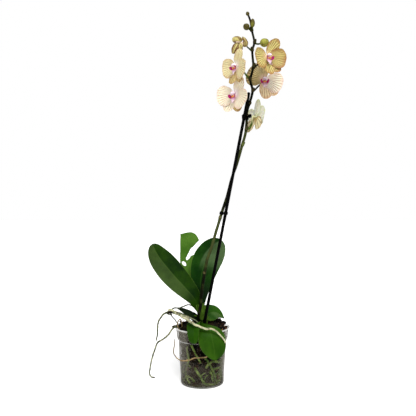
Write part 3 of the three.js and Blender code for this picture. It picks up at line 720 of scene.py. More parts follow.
def strap(rib, face, half_width, foot, tip, fold=0.0, cup=0.0, wave=0.0, thick=LEAF_THICKNESS,
          rows=110, around=84, seed=1, place=None, pinch=0.0):
    """A blade along its midrib. At share t and share s across, its middle surface lies
    s times the half width to the side, and rises by fold times |s| (rounded at the midrib)
    less cup times s squared, both times the half width. wave, in mm, ripples the margins, and
    pinch is the share of the width that is lost at the foot. The two faces lie half the
    thickness away, close in an ellipse at the margins, and the upper has a groove at the
    midrib. place, if given, carries the finished points somewhere else."""
    path = smooth_path(rib)
    t, s, side_of = blade_grid(rows, around)
    middle = along(path, t[:, 0])[:, None]
    ahead = directions(path, t[:, 0])[:, None]
    look = np.asarray(face[0], float) * (1 - t[..., None]) + np.asarray(face[1], float) * t[..., None]
    side = unit(np.cross(ahead, look))
    normal = unit(np.cross(side, ahead))
    half = half_width * outline(foot, tip)(t) * (1 - pinch * np.exp(-((t / 0.2) ** 2)))
    keel = np.sqrt(s**2 + 0.006) - np.sqrt(0.006)
    rise = (fold * keel - cup * s**2) * half
    ripple = waves(np.stack([t * 220 + 0 * s, s * 24 + 0 * t, 0 * t * s], -1), 46, seed)
    rise = rise + wave * ripple * np.abs(s) ** 2.5 * np.sqrt(np.clip(half / half_width, 0, 1))
    groove = 0.42 * np.exp(-(s / 0.05) ** 2) * (side_of > 0) * np.clip(half / 8, 0, 1)
    lift = rise + side_of * thick / 2 * np.clip(half / (1.5 * thick), 0.25, 1) - groove
    points = middle + side * (s * half)[..., None] + normal * lift[..., None]
    tips = path[[0, -1]]
    if place is not None:
        points, tips = place(points), place(tips)
    return closed_rings(points, tips[0], tips[1], across=s, lengthwise=t, upper=side_of)


LEAVES = {
    "leaf_left": dict(
        rib=[(-5.4, -0.3, 147), (-16, -2, 179), (-37, 1, 204), (-59, 5, 227), (-79, 9, 250),
             (-97, 13, 273), (-110, 16, 298)],
        face=[(0.3, -0.9, 0.3), (0.1, -0.95, 0.2)], half_width=27.5, foot=0.8, tip=0.5,
        fold=0.16, wave=1.0, seed=3),
    "leaf_upper_right": dict(
        rib=[(2.5, 4.9, 149), (-1, 13, 172), (-5, 28, 211), (4, 38, 252), (17, 43, 274),
             (31, 45, 290), (45, 46, 303)],
        face=[(0.4, -0.9, 0.1), (0.42, -0.85, 0.3)], half_width=34, foot=1, tip=0.5, fold=0.3,
        wave=1.0, seed=4, pinch=0.52),
    "leaf_front": dict(
        rib=[(-1, -7.1, 131), (0.6, -22, 132), (7, -40, 132.5), (13, -57, 131), (18, -69, 122),
             (21.5, -75, 108), (25, -77, 90), (27, -77, 70)],
        face=[(0, 0.2, 1), (0, -1, 0.1)], half_width=27.5, foot=1.2, tip=0.58, cup=0.25,
        wave=0.8, seed=5),
    "leaf_front_small": dict(
        rib=[(-6, -5.6, 124.4), (-12, -22, 130), (-16, -42, 134), (-17, -58, 129),
             (-16.6, -67, 114), (-15.6, -69, 101)],
        face=[(0, 0.2, 1), (-0.2, -1, 0.1)], half_width=13.2, foot=0.55, tip=0.4, fold=0.5,
        wave=0.5, seed=6),
    "leaf_right": dict(
        rib=[(5.7, 5.2, 136), (15, 15, 146.5), (27, 27, 147), (38, 37, 140), (50, 45, 127.5)],
        face=[(-0.15, -0.8, 0.55), (-0.1, -0.8, 0.6)], half_width=22.5, foot=0.35, tip=1.25,
        fold=0.1, wave=0.8, seed=7),
    "leaf_left_narrow": dict(
        rib=[(-6, -0.8, 136.5), (-25, -6, 146.5), (-42, -7, 157), (-56, -7, 163)],
        face=[(0.35, -0.6, 0.72), (0.3, -0.5, 0.8)], half_width=11, foot=0.4, tip=0.85,
        fold=0.15, wave=0.4, seed=8),
}
TORN_LEAF = dict(
    rib=[(-1.8, 4.8, 145.5), (-15, 30, 196), (-28, 46, 246), (-34, 53, 286), (-42, 57, 320)],
    face=[(0.1, -0.95, 0.2), (0, -0.97, 0.2)], half_width=30, foot=1.4, tip=0.3, fold=0.09,
    wave=0.6, seed=9)

# %% [markdown]
# The leaf's colour comes from the same t and s as its shape. Long veins darken it in fine
# lines, the midrib and the margins are paler, the foot is yellow-green where it was sheathed
# from the light, and a grey painted sheen lies faintly over some leaves and strongly over one
# half of others. Painted shade darkens the tall leaf's foot, the folded leaf's right half and
# the whole narrow leaf.

# %% Leaf finish
def leaf_finish(name, deep, fresh, painted_sheen, painted_sheen_side=0.0, painted_sheen_share=0.1, painted_sheen_from=0.05,
                painted_sheen_along=(0.12, 0.4), shade=0.0, folded=False):
    """deep and fresh are the two greens that the leaf varies between, and painted_sheen is the
    colour of a grey painted sheen. It lies where s times painted_sheen_side is over
    painted_sheen_from, or all over where painted_sheen_side is 0, and begins between the two
    shares painted_sheen_along of the leaf's length. shade is how strongly painted shade darkens
    the leaf's foot. A folded leaf has its right half darkened by painted shade, and the others
    a pale midrib."""
    leaf = Finish(name)
    across, lengthwise, upper = leaf.mark("across"), leaf.mark("lengthwise"), leaf.mark("upper")
    patch = leaf.noise(22.0, 4.0, 0.55)
    speck = leaf.noise(260.0, 4.0, 0.65)
    wander = leaf.times(leaf.noise(60.0, 2.0, 0.5), 0.02)
    lines = leaf.sum(leaf.times(leaf.sum(across, wander), 118.0), 0.0, "SINE")
    from_rib = leaf.sum(across, 0.0, "ABSOLUTE")
    # painted sheen: a grey-green lighter colour that stands for reflected light
    painted_sheen_mask = leaf.times(leaf.span(patch, 0.25, 0.7, 0.55, 1.0), leaf.span(lengthwise, *painted_sheen_along))
    if painted_sheen_side:
        half = leaf.span(leaf.times(across, painted_sheen_side), painted_sheen_from - 0.07, painted_sheen_from + 0.07)
        painted_sheen_mask = leaf.times(painted_sheen_mask, half)
    midrib_and_fold_shade = (leaf.span(from_rib, 0.035, 0.012), 0.22, (80, 112, 40))
    # a folded leaf's right half is darkened as painted shade, in place of the pale midrib
    if folded:
        midrib_and_fold_shade = (leaf.span(across, -0.05, 0.06), 0.5, (12, 44, 0))
    colour = leaf.layers(
        deep,
        (leaf.span(patch, 0.32, 0.68), 1.0, fresh),
        (leaf.span(lines, 0.2, 1.0), 0.26, darker(deep, 0.45)),
        # the painted sheen
        (painted_sheen_mask, painted_sheen_share, painted_sheen),
        midrib_and_fold_shade,
        (leaf.span(from_rib, 0.965, 0.995), 0.5, (104, 134, 56)),
        (leaf.span(lengthwise, 0.13, 0.015), 0.55 - 0.5 * shade, (66, 92, 24)),
        # painted shade over the foot, as strong as shade
        (leaf.span(lengthwise, 0.5, 0.2), shade, (2, 12, 1)),
        (leaf.span(speck, 0.66, 0.74), 0.2, (112, 126, 70)),
        (leaf.span(upper, 0.1, -0.1), 0.5, (80, 108, 48)))
    leaf.skin_is(colour=colour, gloss=0.045, through=0.02, through_scale=0.002,
                 rough=leaf.span(speck, 0.3, 0.7, 0.38, 0.5))
    relief = leaf.sum(leaf.times(lines, 0.35), leaf.times(speck, 0.8))
    leaf.bump(relief, 0.00035, 0.55)
    return leaf


# painted sheen lies strongly on one half of three leaves and faintly on the rest
leaf_finishes = {
    "leaf_left": leaf_finish(
        "dark leaf with painted sheen", (4, 30, 0), (28, 58, 0), (60, 80, 36),
        painted_sheen_side=-1.0, painted_sheen_share=0.75, painted_sheen_from=-0.02),
    "leaf_upper_right": leaf_finish(
        "tall leaf", (8, 44, 3), (26, 64, 10), (92, 116, 76),
        painted_sheen_side=1.0, painted_sheen_share=0.75, painted_sheen_from=-0.34, painted_sheen_along=(0.5, 0.78), shade=0.75),
    "leaf_front": leaf_finish(
        "bright leaf", (24, 60, 0), (44, 84, 4), (72, 104, 36), painted_sheen_share=0.12),
    "leaf_front_small": leaf_finish(
        "folded leaf", (26, 66, 0), (48, 92, 4), (72, 104, 36), folded=True),
    "leaf_right": leaf_finish(
        "side leaf", (18, 56, 5), (42, 82, 16), (92, 118, 68), painted_sheen_side=1.0, painted_sheen_share=0.4),
    # the narrow leaf's near-black greens are painted shade
    "leaf_left_narrow": leaf_finish("shaded leaf", (2, 12, 1), (10, 26, 4), (34, 50, 26)),
    "leaf_torn": leaf_finish(
        "torn pale leaf", (50, 90, 12), (76, 116, 32), (94, 130, 60), painted_sheen_share=0.2),
}
for name, form in LEAVES.items():
    piece(name + "_blade", [strap(**form)], leaf_finishes[name], name)
print("whole leaves:", len(LEAVES))

# %% [markdown]
# One tall leaf behind is torn: it has lost a strip along its left margin and a wedge out of
# its right half, and has a hole left of its midrib. It is made whole like the others, and
# closed prisms with ragged outlines are then taken out of it, so that each tear has real
# edges as thick as the leaf.

# %% The torn leaf
TORN_AWAY = [
    [(-9, 303), (-20, 291), (-27, 285), (-31, 276), (-38, 263), (-35, 259), (-31, 262), (-27, 268),
     (-20, 272), (-12, 273), (12, 274), (12, 308)],
    [(-50.7, 332), (-50.7, 262), (-49.5, 240), (-60, 222), (-80, 222), (-80, 332)],
]  # x and z, mm
TEAR_HOLE, TEAR_HOLE_RADII, TEAR_HOLE_SLANT = (-41.5, 252), (6.2, 3.6), -48.0
TEAR_REACH = (-20.0, 90.0)  # the prism's ends in y, in front of the leaf and behind it


def ragged(corners, each, rough, seed):
    """The closed outline with `each` points to a side, moved sideways by up to rough mm."""
    p = np.asarray(corners, float)
    step = np.linspace(0, 1, each, endpoint=False)[None, :, None]
    line = (p[:, None] + (np.roll(p, -1, axis=0) - p)[:, None] * step).reshape(-1, 2)
    return line + np.random.default_rng(seed).normal(0, rough, line.shape)


def prism(line):
    """The outline, given in x and z, drawn out along y between its two flat ends."""
    n = len(line)
    ends = [np.column_stack([line[:, 0], np.full(n, y), line[:, 1]]) for y in TEAR_REACH]
    i, j = np.arange(n), np.roll(np.arange(n), -1)
    sides = np.stack([i, j, j + n, i + n], axis=1).tolist()
    mesh = bpy.data.meshes.new("tear")
    mesh.from_pydata(np.vstack(ends) * MM, [], sides + [i[::-1].tolist(), (i + n).tolist()])
    work = bmesh.new()
    work.from_mesh(mesh)
    bmesh.ops.recalc_face_normals(work, faces=work.faces)
    work.to_mesh(mesh)
    work.free()
    return bpy.data.objects.new("tear", mesh)


hole_turn = np.linspace(0, 2 * np.pi, 26, endpoint=False)
slant = np.radians(TEAR_HOLE_SLANT)
slanted = np.array([[np.cos(slant), np.sin(slant)], [-np.sin(slant), np.cos(slant)]])
hole_line = np.column_stack([np.cos(hole_turn), np.sin(hole_turn)]) * TEAR_HOLE_RADII @ slanted + TEAR_HOLE
hole_line += np.random.default_rng(4).normal(0, 0.18, hole_line.shape)
torn = bare_object("leaf_torn_blade", [strap(**TORN_LEAF)])
for line in [ragged(corners, 7, 0.26, 2) for corners in TORN_AWAY] + [hole_line]:
    cut_away(torn, prism(line))
piece("leaf_torn_blade", torn, leaf_finishes["leaf_torn"], "leaf_torn")
print("torn leaf faces:", len(torn.data.polygons))

# %% [markdown]
# ## The crown
#
# The leaves grow from a short upright stem, which is hidden by their own folded feet. Five of
# these are made as sheaths: short straps, folded hard round the stem, that lean the way
# their leaves go. The narrowest comes forward between the spike and the stake.

# %% Crown
CROWN = [(0, 3, 98), (0, 2, 124), (1, -1, 150), (2, -4, 172)]
SHEATHS = [  # rib, face, half width
    ([(-2.5, -1, 112), (-4.5, -2.2, 128), (-5.4, -1.2, 146), (-12, -1.6, 170)],
     (0.3, -0.9, 0.3), 8.0),
    ([(2.5, 6, 112), (3.2, 7, 130), (2.6, 6.4, 150), (-0.4, 12.5, 171)], (0.4, -0.9, 0.1), 7.5),
    ([(0.2, -4.2, 112), (-0.3, -5.6, 122), (-1.2, -7.8, 133), (-1.3, -21, 139.6)],
     (0, 0.2, 1), 4.5),
    ([(4.2, 3.4, 112), (5.2, 4, 124), (6.2, 5.4, 135), (14, 14.4, 143.6)],
     (-0.15, -0.8, 0.55), 7.0),
    ([(-4, 0.2, 112), (-5, 0.1, 126), (-6.4, -0.6, 138.6), (-18, -4, 145)],
     (0.35, -0.3, 0.87), 5.0),
]
crown_finish = leaf_finish("young sheath", (28, 56, 6), (76, 110, 26), (110, 132, 56))
core = strap(CROWN, [(0.2, -1, 0), (0.2, -1, 0)], 7.6, 0.02, 0.62, cup=0.2, thick=9.0,
             rows=60, around=48)
sheaths = [strap(rib, [face, face], half, 0.35, 0.55, fold=0.75, thick=1.6, rows=50, around=44,
                 seed=30 + k)
           for k, (rib, face, half) in enumerate(SHEATHS)]
piece("crown_sheaths", [core] + sheaths, crown_finish, "crown")
print("sheaths round the stem:", len(sheaths))

# %% [markdown]
# ## Roots
#
# Orchid roots are soft cords with a spongy, papery coat. In the air they dry to cream and
# grey, kink where they met something, and go brown at a dead tip. Each is a tube along a
# line, with small random bends added to the line and small random swellings to the tube.
# The highest ones meet in a knot left of the plant, a cluster of swollen lumps with one
# hollow in it and one beside it, each filled by a black lump of painted shade. The others
# come out over the pot's rim.

# %% Root shape
def root(points, r0, r1, seed, age, kink=0.8, rings=150, around=14):
    """A tube from radius r0 to r1. Its line wanders by up to kink mm and its ends stay put.
    age is 0 where the coat is cream and 1 where it is grey-olive, or a function of t."""
    line = smooth_path(points, 70)
    t = np.linspace(0, 1, len(line))[:, None]
    stray = np.stack([waves(line, 17, seed + k) for k in range(3)], axis=1)
    line = line + stray * kink * np.sin(np.pi * t) ** 0.5
    swelling = lambda spots: (0.15 * waves(spots, 9, seed + 5) + 0.14 * waves(spots, 3, seed + 6)) * r0
    return tube(line, lambda u: r0 + (r1 - r0) * u, rings, around, swelling, age=age)


KNOT = (-67, -37, 161)
BRANCHES = [  # line, radius at its start and its end, age
    ([(-8.4, -1.4, 128), (-16, -10, 135), (-25, -21, 143), (-36, -30, 150), (-51, -36, 158), KNOT],
     2.2, 2.4, 0.75),
    ([KNOT, (-56, -42, 158), (-46, -46, 154), (-31, -54, 147), (-16, -61.5, 139.5), (-2, -68, 134.5),
      (9, -72, 132), (20, -75, 132.5), (27, -76, 129.5), (37, -74, 119.5), (46.5, -72.5, 107.5),
      (47.5, -72, 102.5)], 2.95, 1.35, lambda t: 0.05 + 0.6 * np.clip(1 - t / 0.36, 0, 1)),
    ([KNOT, (-77, -31, 156), (-83, -30, 152), (-92, -26, 137), (-95, -20, 121), (-96, -14, 106),
      (-99, -8, 93)], 2.0, 1.4, 0.8),
    ([KNOT, (-60, -28, 166), (-47, -14, 164), (-29, 0, 168), (-16, 6, 160)], 1.5, 1.2, 1.0),
    ([KNOT, (-65, -31, 151), (-59, -25, 142), (-53, -20, 132)], 1.4, 1.0, 0.9),
]
OFFSHOOTS = [  # thin roots that twist round the thick ones between the knot and the crown
    ([(-66, -38, 162), (-52, -41, 160), (-40, -38, 153), (-28, -33, 147), (-17, -20, 140),
      (-9, -8, 131)], 1.6, 1.1, 0.35),
    ([(-68, -35, 159), (-55, -39, 156), (-42, -43, 154), (-30, -48, 149), (-21, -55, 142)], 1.5, 1.0, 0.4),
    ([(-76, -36, 158.5), (-70, -41, 155.4), (-63, -40.5, 155.2)], 1.4, 1.1, 0.9),
]
FLOOR_ROOT = [(-40, -15, 116.7), (-49, -17, 121), (-57, -19, 124.3), (-64, -19, 119),
              (-72, -15, 107), (-84, -10, 96), (-97, -3, 86), (-104, 4, 67), (-111, 12, 45),
              (-115, 18, 24), (-116, 22, 10), (-112, 25, 3.6), (-106, 27, 2.0)]
LOOP_ROOT = [(12, -24, 122.6), (14, -40, 121.5), (15, -54, 124.3), (16.5, -61, 124.2),
             (17.5, -64.5, 115), (16, -60, 95), (10, -54, 71), (-1, -55, 69), (-13, -54, 68),
             (-31, -48, 61), (-45, -43, 60), (-55, -32, 64), (-61, -20, 70), (-60, -12, 82),
             (-59, -8, 95)]
STUB_ROOT = [(-41.5, -6, 115.8), (-50, -9, 122), (-57.5, -12, 125), (-65, -14, 123)]
RIM_ROOT = [(-45, -24, 112), (-52, -21, 127), (-50.5, -19, 138), (-46.5, -18, 140),
            (-43.5, -17, 131), (-43, -14, 112)]  # it arches up and back down to the bark
KNOT_LUMPS = [  # shift from the knot, radii, age
    ((0, 0, 1.4), (4.8, 4.4, 3.9), 0.2), ((4.5, -2.4, 1.6), (3.9, 3.4, 2.6), 0.05),
    ((-3.2, 1.6, -1.6), (3, 2.6, 2.8), 1.0), ((1.2, 1.8, 2.4), (2.6, 2.4, 2.2), 0.3)]
# black lumps of painted shade that fill the knot's hollows: shift from the knot, and radii
HOLLOWS = [((0.1, -5.7, -1.4), (5.2, 2.6, 2.9)), ((15.5, -9.4, -1.2), (2.6, 1.2, 1.0))]


def lump(centre, radii, seed, rough=0.16, **marks):
    """A ball with its surface pushed in and out by waves."""
    ball = unit_ball(26, 30)
    grown = ball * (1 + rough * waves(ball, 1.1, seed))[..., None] * np.asarray(radii, float)
    ends = np.array([[0, 0, radii[2]], [0, 0, -radii[2]]], float)
    return closed_rings(grown + centre, ends[0] + centre, ends[1] + centre, **marks)


knot = [lump(np.add(KNOT, shift), radii, 40 + k, lengthwise=0.5, age=age)
        for k, (shift, radii, age) in enumerate(KNOT_LUMPS)]
hollows = [lump(np.add(KNOT, shift), radii, 46, lengthwise=0.5, age=0.5) for shift, radii in HOLLOWS]
high_roots = [root(points, r0, r1, 50 + 7 * k, age)
              for k, (points, r0, r1, age) in enumerate(BRANCHES + OFFSHOOTS)]
print("roots at the knot:", len(high_roots))

# %% [markdown]
# The coat of a root is cream where it is thick and dry, and grey-olive where it is thin
# enough for the green core to show. Short dark scars and fine wrinkles break the colour, and
# the tips are brown. How old a root looks is stored with its mesh, and may change along it.
# Four coats of the same kind serve: cream, brown, dead, and black as painted shade in the hollows.

# %% Root finish
def root_finish(name, pale, olive, scar):
    """pale is the coat's colour at age 0, olive at age 1, and scar that of its marks and ends."""
    coat = Finish(name)
    age, lengthwise = coat.mark("age"), coat.mark("lengthwise")
    blotch = coat.noise(120.0, 5.0, 0.6)
    fine = coat.noise(900.0, 3.0, 0.6)
    older = coat.sum(age, coat.times(coat.sum(blotch, 0.44, "SUBTRACT"), 3.0), clamp=True)
    ends = coat.sum(coat.span(lengthwise, 0.975, 1.0), coat.span(lengthwise, 0.012, 0.0))
    scars = coat.span(coat.noise(210.0, 4.0, 0.7), 0.56, 0.66)
    colour = coat.layers(pale, (older, 1.0, olive), (scars, 0.75, scar), (ends, 0.8, scar))
    coat.skin_is(colour=colour, rough=0.8, gloss=0.12, through=0.08, through_scale=0.0015)
    coat.bump(coat.sum(fine, coat.times(blotch, 1.2)), 0.0005, 0.6)
    return coat


cream_coat = root_finish("dry root coat", (196, 194, 158), (64, 72, 44), (40, 34, 22))
brown_coat = root_finish("brown root coat", (186, 162, 116), (92, 72, 40), (46, 30, 18))
dead_coat = root_finish("dead root coat", (92, 76, 50), (48, 38, 24), (22, 16, 10))
# painted shade: near black, for the lumps in the knot's hollows
hollow_shade = root_finish("painted hollow shade", (14, 11, 8), (8, 6, 4), (4, 3, 2))
floor_age = lambda t: 0.55 + 0.6 * np.clip(1 - t / 0.2, 0, 1)
loop_age = lambda t: 0.5 - 0.6 * np.exp(-((t - 0.4) / 0.13) ** 2)
loop_knot = lump((-31, -48.6, 61.2), (2.4, 2.1, 2.3), 66, lengthwise=0.5, age=0.6)

piece("knot_hollows", hollows, hollow_shade)
piece("high_roots", high_roots + knot, cream_coat, "aerial_root_branched")
piece("floor_root", [root(FLOOR_ROOT, 1.9, 1.5, 90, floor_age, 0.7)], cream_coat,
      "aerial_root_floor")
piece("rim_root", [root(RIM_ROOT, 1.3, 1.2, 111, 0.5, 0.4, rings=80)], brown_coat)
piece("loop_root", [root(LOOP_ROOT, 1.5, 1.05, 97, loop_age, 0.5), loop_knot], brown_coat,
      "aerial_root_loop")
piece("stub_root", [root(STUB_ROOT, 1.8, 1.4, 104, 0.6, 0.5, rings=60)], dead_coat,
      "aerial_root_stub")
print("root finish:", len(cream_coat.tree.nodes), "nodes")

# %% [markdown]
# Inside the pot the roots press against the clear wall. They are wet, so the green core
# shows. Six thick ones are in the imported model. The stoutest of the others that are seen
# from the front have routes of their own, and the finer ones between them are each a slow
# random walk round the wall, so that the wall looks as crowded as it is.

# %% Roots against the wall
POT_ROOT_R = 2.5
ROOT_CLEAR = 0.35  # mm between a root and the wall
FINE_ROOTS = 30
POT_ROOTS = [
    [(-42, 88), (-41, 74), (-39, 60), (-44, 46), (-52, 32), (-46, 18), (-36, 9)],
    [(-20, 44), (-12, 34), (-2, 24), (6, 12), (18, 8)],
    [(8, 66), (17, 56), (27, 42), (36, 28), (42, 14)],
    [(54, 60), (66, 48), (60, 30), (72, 16), (86, 10)],
    [(128, 74), (140, 56), (150, 40), (144, 22), (160, 10)],
    [(-150, 80), (-144, 70), (-138, 60), (-130, 48), (-132, 34), (-126, 22), (-114, 12)],
]  # degrees from the front towards +X, and height


def on_wall(route, radius):
    """The route, in degrees and heights, laid against the inside of the pot's wall."""
    degrees, z = np.asarray(route, float).T
    a = np.radians(degrees)
    reach = wall_radius(z) - WALL - ROOT_CLEAR - radius
    return np.column_stack([reach * np.sin(a), -reach * np.cos(a), z])


def fine_route(dice):
    """Starts at a random height and sinks, drifting one way round the wall as it goes. A root
    that starts low has little height to lose, and so lies the flattest."""
    steps = dice.integers(4, 8)
    top = 12 + 60 * dice.uniform() ** 1.4
    z = np.linspace(top, 8 + dice.uniform(0, 0.5) * (top - 8), steps) + dice.normal(0, 2.2, steps)
    drift = dice.choice([-1, 1]) * dice.uniform(3, 15)
    turns = np.cumsum(drift + dice.normal(0, 7, steps))
    return np.column_stack([dice.uniform(70, 290) + turns, np.clip(z, 6.5, 80)])


SEEN_ROOTS = [  # route, radius
    ([(-27, 93), (-24, 84), (-13, 68), (-3, 55)], 2.4),
    ([(10, 44), (15, 49), (27, 56), (52, 52), (80, 43)], 3.0),
    ([(20, 37), (28, 27), (32, 16), (41, 9)], 2.8),
    ([(32, 39), (45, 41), (63, 36), (82, 20)], 2.6),
    ([(49, 24), (64, 27), (58, 14), (45, 8)], 2.6),
    ([(15, 9), (29, 7.5), (53, 9), (78, 16)], 2.5),
    ([(-68, 36), (-59, 45), (-42, 50), (-32, 43)], 2.4),
    ([(-66, 12), (-50, 21), (-35, 23), (-22, 14)], 2.7),
    ([(-3, 27), (3, 32), (9, 34)], 1.6),
]
wet_coat = root_finish("wet root coat", (146, 166, 92), (60, 86, 28), (26, 30, 12))
for k, route in enumerate(POT_ROOTS):
    made = root(on_wall(route, POT_ROOT_R), POT_ROOT_R, POT_ROOT_R * 0.92, 120 + 7 * k,
                0.15 if k == 0 else 0.65, 0.25, rings=90)  # the first one is the palest
    piece(f"wall_root_{k + 1}", [made], wet_coat, f"pot_root_{k + 1}")
fine_dice = np.random.default_rng(31)
fine_roots = []
for k in range(FINE_ROOTS):
    route, r = fine_route(fine_dice), fine_dice.uniform(1.2, 2.9)
    fine_roots.append(root(on_wall(route, 1.2 * r), r, 1.0, 300 + 7 * k,
                           fine_dice.uniform(0.2, 1.0), 0.2, rings=60, around=8))
fine_roots += [root(on_wall(route, 1.15 * r), r, 0.8 * r, 600 + 7 * k, 0.45, 0.2, rings=60, around=12)
               for k, (route, r) in enumerate(SEEN_ROOTS)]
piece("fine_wall_roots", fine_roots, wet_coat)
print("roots against the wall:", len(POT_ROOTS), "thick and", len(fine_roots), "fine")

# %% [markdown]
# ## Stake and spike
#
# The stake is a smooth black plastic rod with a rounded top, and the clips are of the same
# plastic: nearly black, with a faint scuffing that changes its gloss.

# %% Stake
STAKE_R = 3.3
STAKE_FOOT, STAKE_TOP = np.array([-8, -10.8, 66.0]), np.array([99, -20, 621.0])
black = Finish("black plastic")
scuff = black.noise(340.0, 5.0, 0.7)
black.skin_is(colour=black.blend(black.span(scuff, 0.55, 0.75), (2, 2, 2), (12, 12, 12)),
              rough=black.span(scuff, 0.3, 0.7, 0.3, 0.5), gloss=0.03)
black.bump(black.noise(1500.0, 2.0), 0.0002, 0.3)
stake_line = STAKE_FOOT + (STAKE_TOP - STAKE_FOOT) * np.linspace(0, 1, 5)[:, None]
piece("stake_rod", [tube(stake_line, lambda t: np.full_like(t, STAKE_R), 40, 28)], black,
      "stake")
print("stake:", round(float(np.linalg.norm(STAKE_TOP - STAKE_FOOT))), "mm long")

# %% [markdown]
# The flower spike is the plant's own stem. It leaves the crown among the leaves, crosses the
# stake, and bends to and fro between the joints where each flower or bud leaves it. A small
# dry bract, which is all that is left of a leaf, wraps each joint.

# %% Spike
SPIKE = [(-5.8, -6.2, 133), (-8.5, -11, 141), (-7.5, -13.5, 150), (-4, -14, 166), (-2, -14, 191),
         (5, -14, 238), (11, -14, 268), (20, -13, 293), (29, -13, 325), (34, -12, 341),
         (39, -12, 358), (44, -11.5, 374), (53, -10, 401), (64, -9.6, 443), (73, -11, 468),
         (79, -12, 488), (85, -13, 510), (92, -14, 535), (94.5, -14, 557), (95.5, -14, 582),
         (102, -16, 604), (107, -19, 626), (102, -21, 649), (104, -22, 658), (108, -24, 677),
         (106, -26, 710), (110, -27, 726), (105, -28, 751), (101, -29, 773), (97.5, -30, 782)]
SPIKE_R, SPIKE_TIP_R = 3.15, 2.1
JOINTS = [  # height, the side its bract leans to, the bract's size, how dry, how fresh
    (238, -0.5, 0.6, 0.25, 0), (356, -0.4, 0.6, 0.25, 0), (512, 1.0, 1, 0.12, 0.5),
    (545, 0.5, 1, 0.12, 0), (600, 0.6, 0.6, 0.12, 0), (626, 0.6, 1, 0.12, 0),
    (649, -0.6, 1, 0.12, 0), (677, 0.7, 1, 0.12, 0), (710, -0.5, 1, 0.12, 0),
    (726, 0.6, 1, 0.12, 0), (751, -0.6, 1, 0.12, 0)]
BRACT_LONG, BRACT_LIFT, BRACT_FLARE, BRACT_WRAP = 9.5, 0.75, 1.6, 1.5  # mm, and radians
spike_path = smooth_path(SPIKE, 1200)


def spike_radius(t):
    """Thinner towards the tip with the cube of t, and swollen for about 3 mm at each joint."""
    z = np.interp(t, np.linspace(0, 1, len(spike_path)), spike_path[:, 2])
    swell = sum(0.5 * np.exp(-((z - joint) / 2.6) ** 2) for joint, *_ in JOINTS)
    return SPIKE_R + (SPIKE_TIP_R - SPIKE_R) * t**3 + swell


def bract(z, lean, grown, dry, fresh):
    """A small pointed scale that wraps the stem: at share s across it lies s times BRACT_WRAP
    round the stem, and at share t along it stands off by BRACT_LIFT plus t squared times
    BRACT_FLARE. grown is its size as a share of the largest."""
    share = np.argmin(np.abs(spike_path[:, 2] - z)) / (len(spike_path) - 1)
    t, s, side_of = blade_grid(18, 22)
    here = along(spike_path, np.array([share]))[0]
    up = directions(spike_path, np.array([share]))[0]
    facing = unit(np.array([lean, -1.0, 0.0]))
    facing = unit(facing - up * (facing @ up))
    other = np.cross(up, facing)
    close, length, flare = SPIKE_R + BRACT_LIFT, BRACT_LONG * grown, BRACT_FLARE * grown
    r = close + flare * t**2 + side_of * 0.3
    a = BRACT_WRAP * grown * s * outline(0.25, 0.8)(t)
    ray = facing * np.cos(a)[..., None] + other * np.sin(a)[..., None]
    points = here + up * ((t - 0.25) * length)[..., None] + ray * r[..., None]
    foot, tip = (here + up * (e - 0.25) * length + facing * (close + flare * e) for e in (0, 1))
    return closed_rings(points, foot, tip, lengthwise=share, dry=dry, fresh=fresh)


spike_lumps = lambda spots: 0.1 * waves(spots, 14, 8) + 0.05 * waves(spots, 4, 9)
spike_body = tube(SPIKE, spike_radius, 520, 22, spike_lumps, dry=0.0, fresh=0.0)
bracts = [bract(*joint) for joint in JOINTS]
print("spike joints:", len(JOINTS))

# %% [markdown]
# ## The flowers
#
# Every open flower is built in its own flat frame: x to its right, y up, and out towards the
# viewer of the flower. It has three narrow sepals behind, at the top and the two lower
# corners, two broad petals in front of them at the sides, and a small coloured lip in the
# middle under a short white column. A table holds where each flower is, how far it has turned
# to the side and nodded, how deep its bowl is, and at what angles its five blades lie, since
# no two are alike. It also says which skin they have, and which way the stem takes.

# %% Flower table
FLOWERS = {
    "lower_left": dict(centre=(67.5, -38, 616), turn=38, nod=4, size=1.02, bow=8, dorsal=50,
                       petals=(187, -35), laterals=(240, 290), skin="pale petal",
                       others=dict(right_sepal="tan sepal"),
                       stem=[(101, -16, 601), (97, -12, 604), (88, -16, 609)]),
    "mid_left": dict(centre=(69.5, -56, 670), turn=52, nod=4, size=0.96, bow=6, dorsal=64,
                     dorsal_length=34, lean=-7, petals=(186, -30), laterals=(247, 294),
                     skin="cream petal", others=dict(left_sepal="tan sepal", right_sepal="tan sepal"),
                     stem=[(102, -21, 649), (94, -24, 657), (87, -30, 665)]),
    "upper_right": dict(centre=(136.5, -45, 693), turn=-28, nod=0, size=1.0, bow=10, dorsal=60,
                        petals=(200, -10), laterals=(272, 308), skin="yellow petal",
                        # the right petal and right sepal take a darker copy of the yellow skin, as painted
                        # shade
                        others=dict(right_petal="yellow petal in painted shade", right_sepal="yellow petal in painted shade"),
                        stem=[(106, -23, 668), (112, -22, 676), (124, -29, 685)]),
    "mid_right": dict(centre=(134.5, -2, 655), turn=2, nod=-2, size=1.05, bow=-2, dorsal=106,
                      petals=(160, -18), laterals=(277, 310), skin="blush petal",
                      # the left petal and the top sepal take a skin of painted shadow
                      others=dict(left_petal="petal in painted shadow", dorsal_sepal="petal in painted shadow",
                                  left_sepal="peach sepal", right_sepal="peach sepal"),
                      stem=[(107, -19, 626), (111, -7, 629), (121, 8, 641)]),
    "low_right": dict(centre=(115.5, -18, 570), turn=-118, nod=8, size=0.95, bow=-4, dorsal=102,
                      petals=(178, 2), laterals=(226, 308), skin="green white petal",
                      others=dict(left_sepal="striped sepal", right_sepal="striped sepal"),
                      stem=[(94, -14, 545), (100, -14, 547), (105, -16, 556)]),
}
SEPAL = dict(length=38, half_width=13.5, shape=outline(0.55, 0.5))
PETAL = dict(length=37, half_width=21.5, shape=outline(0.56, 0.42))


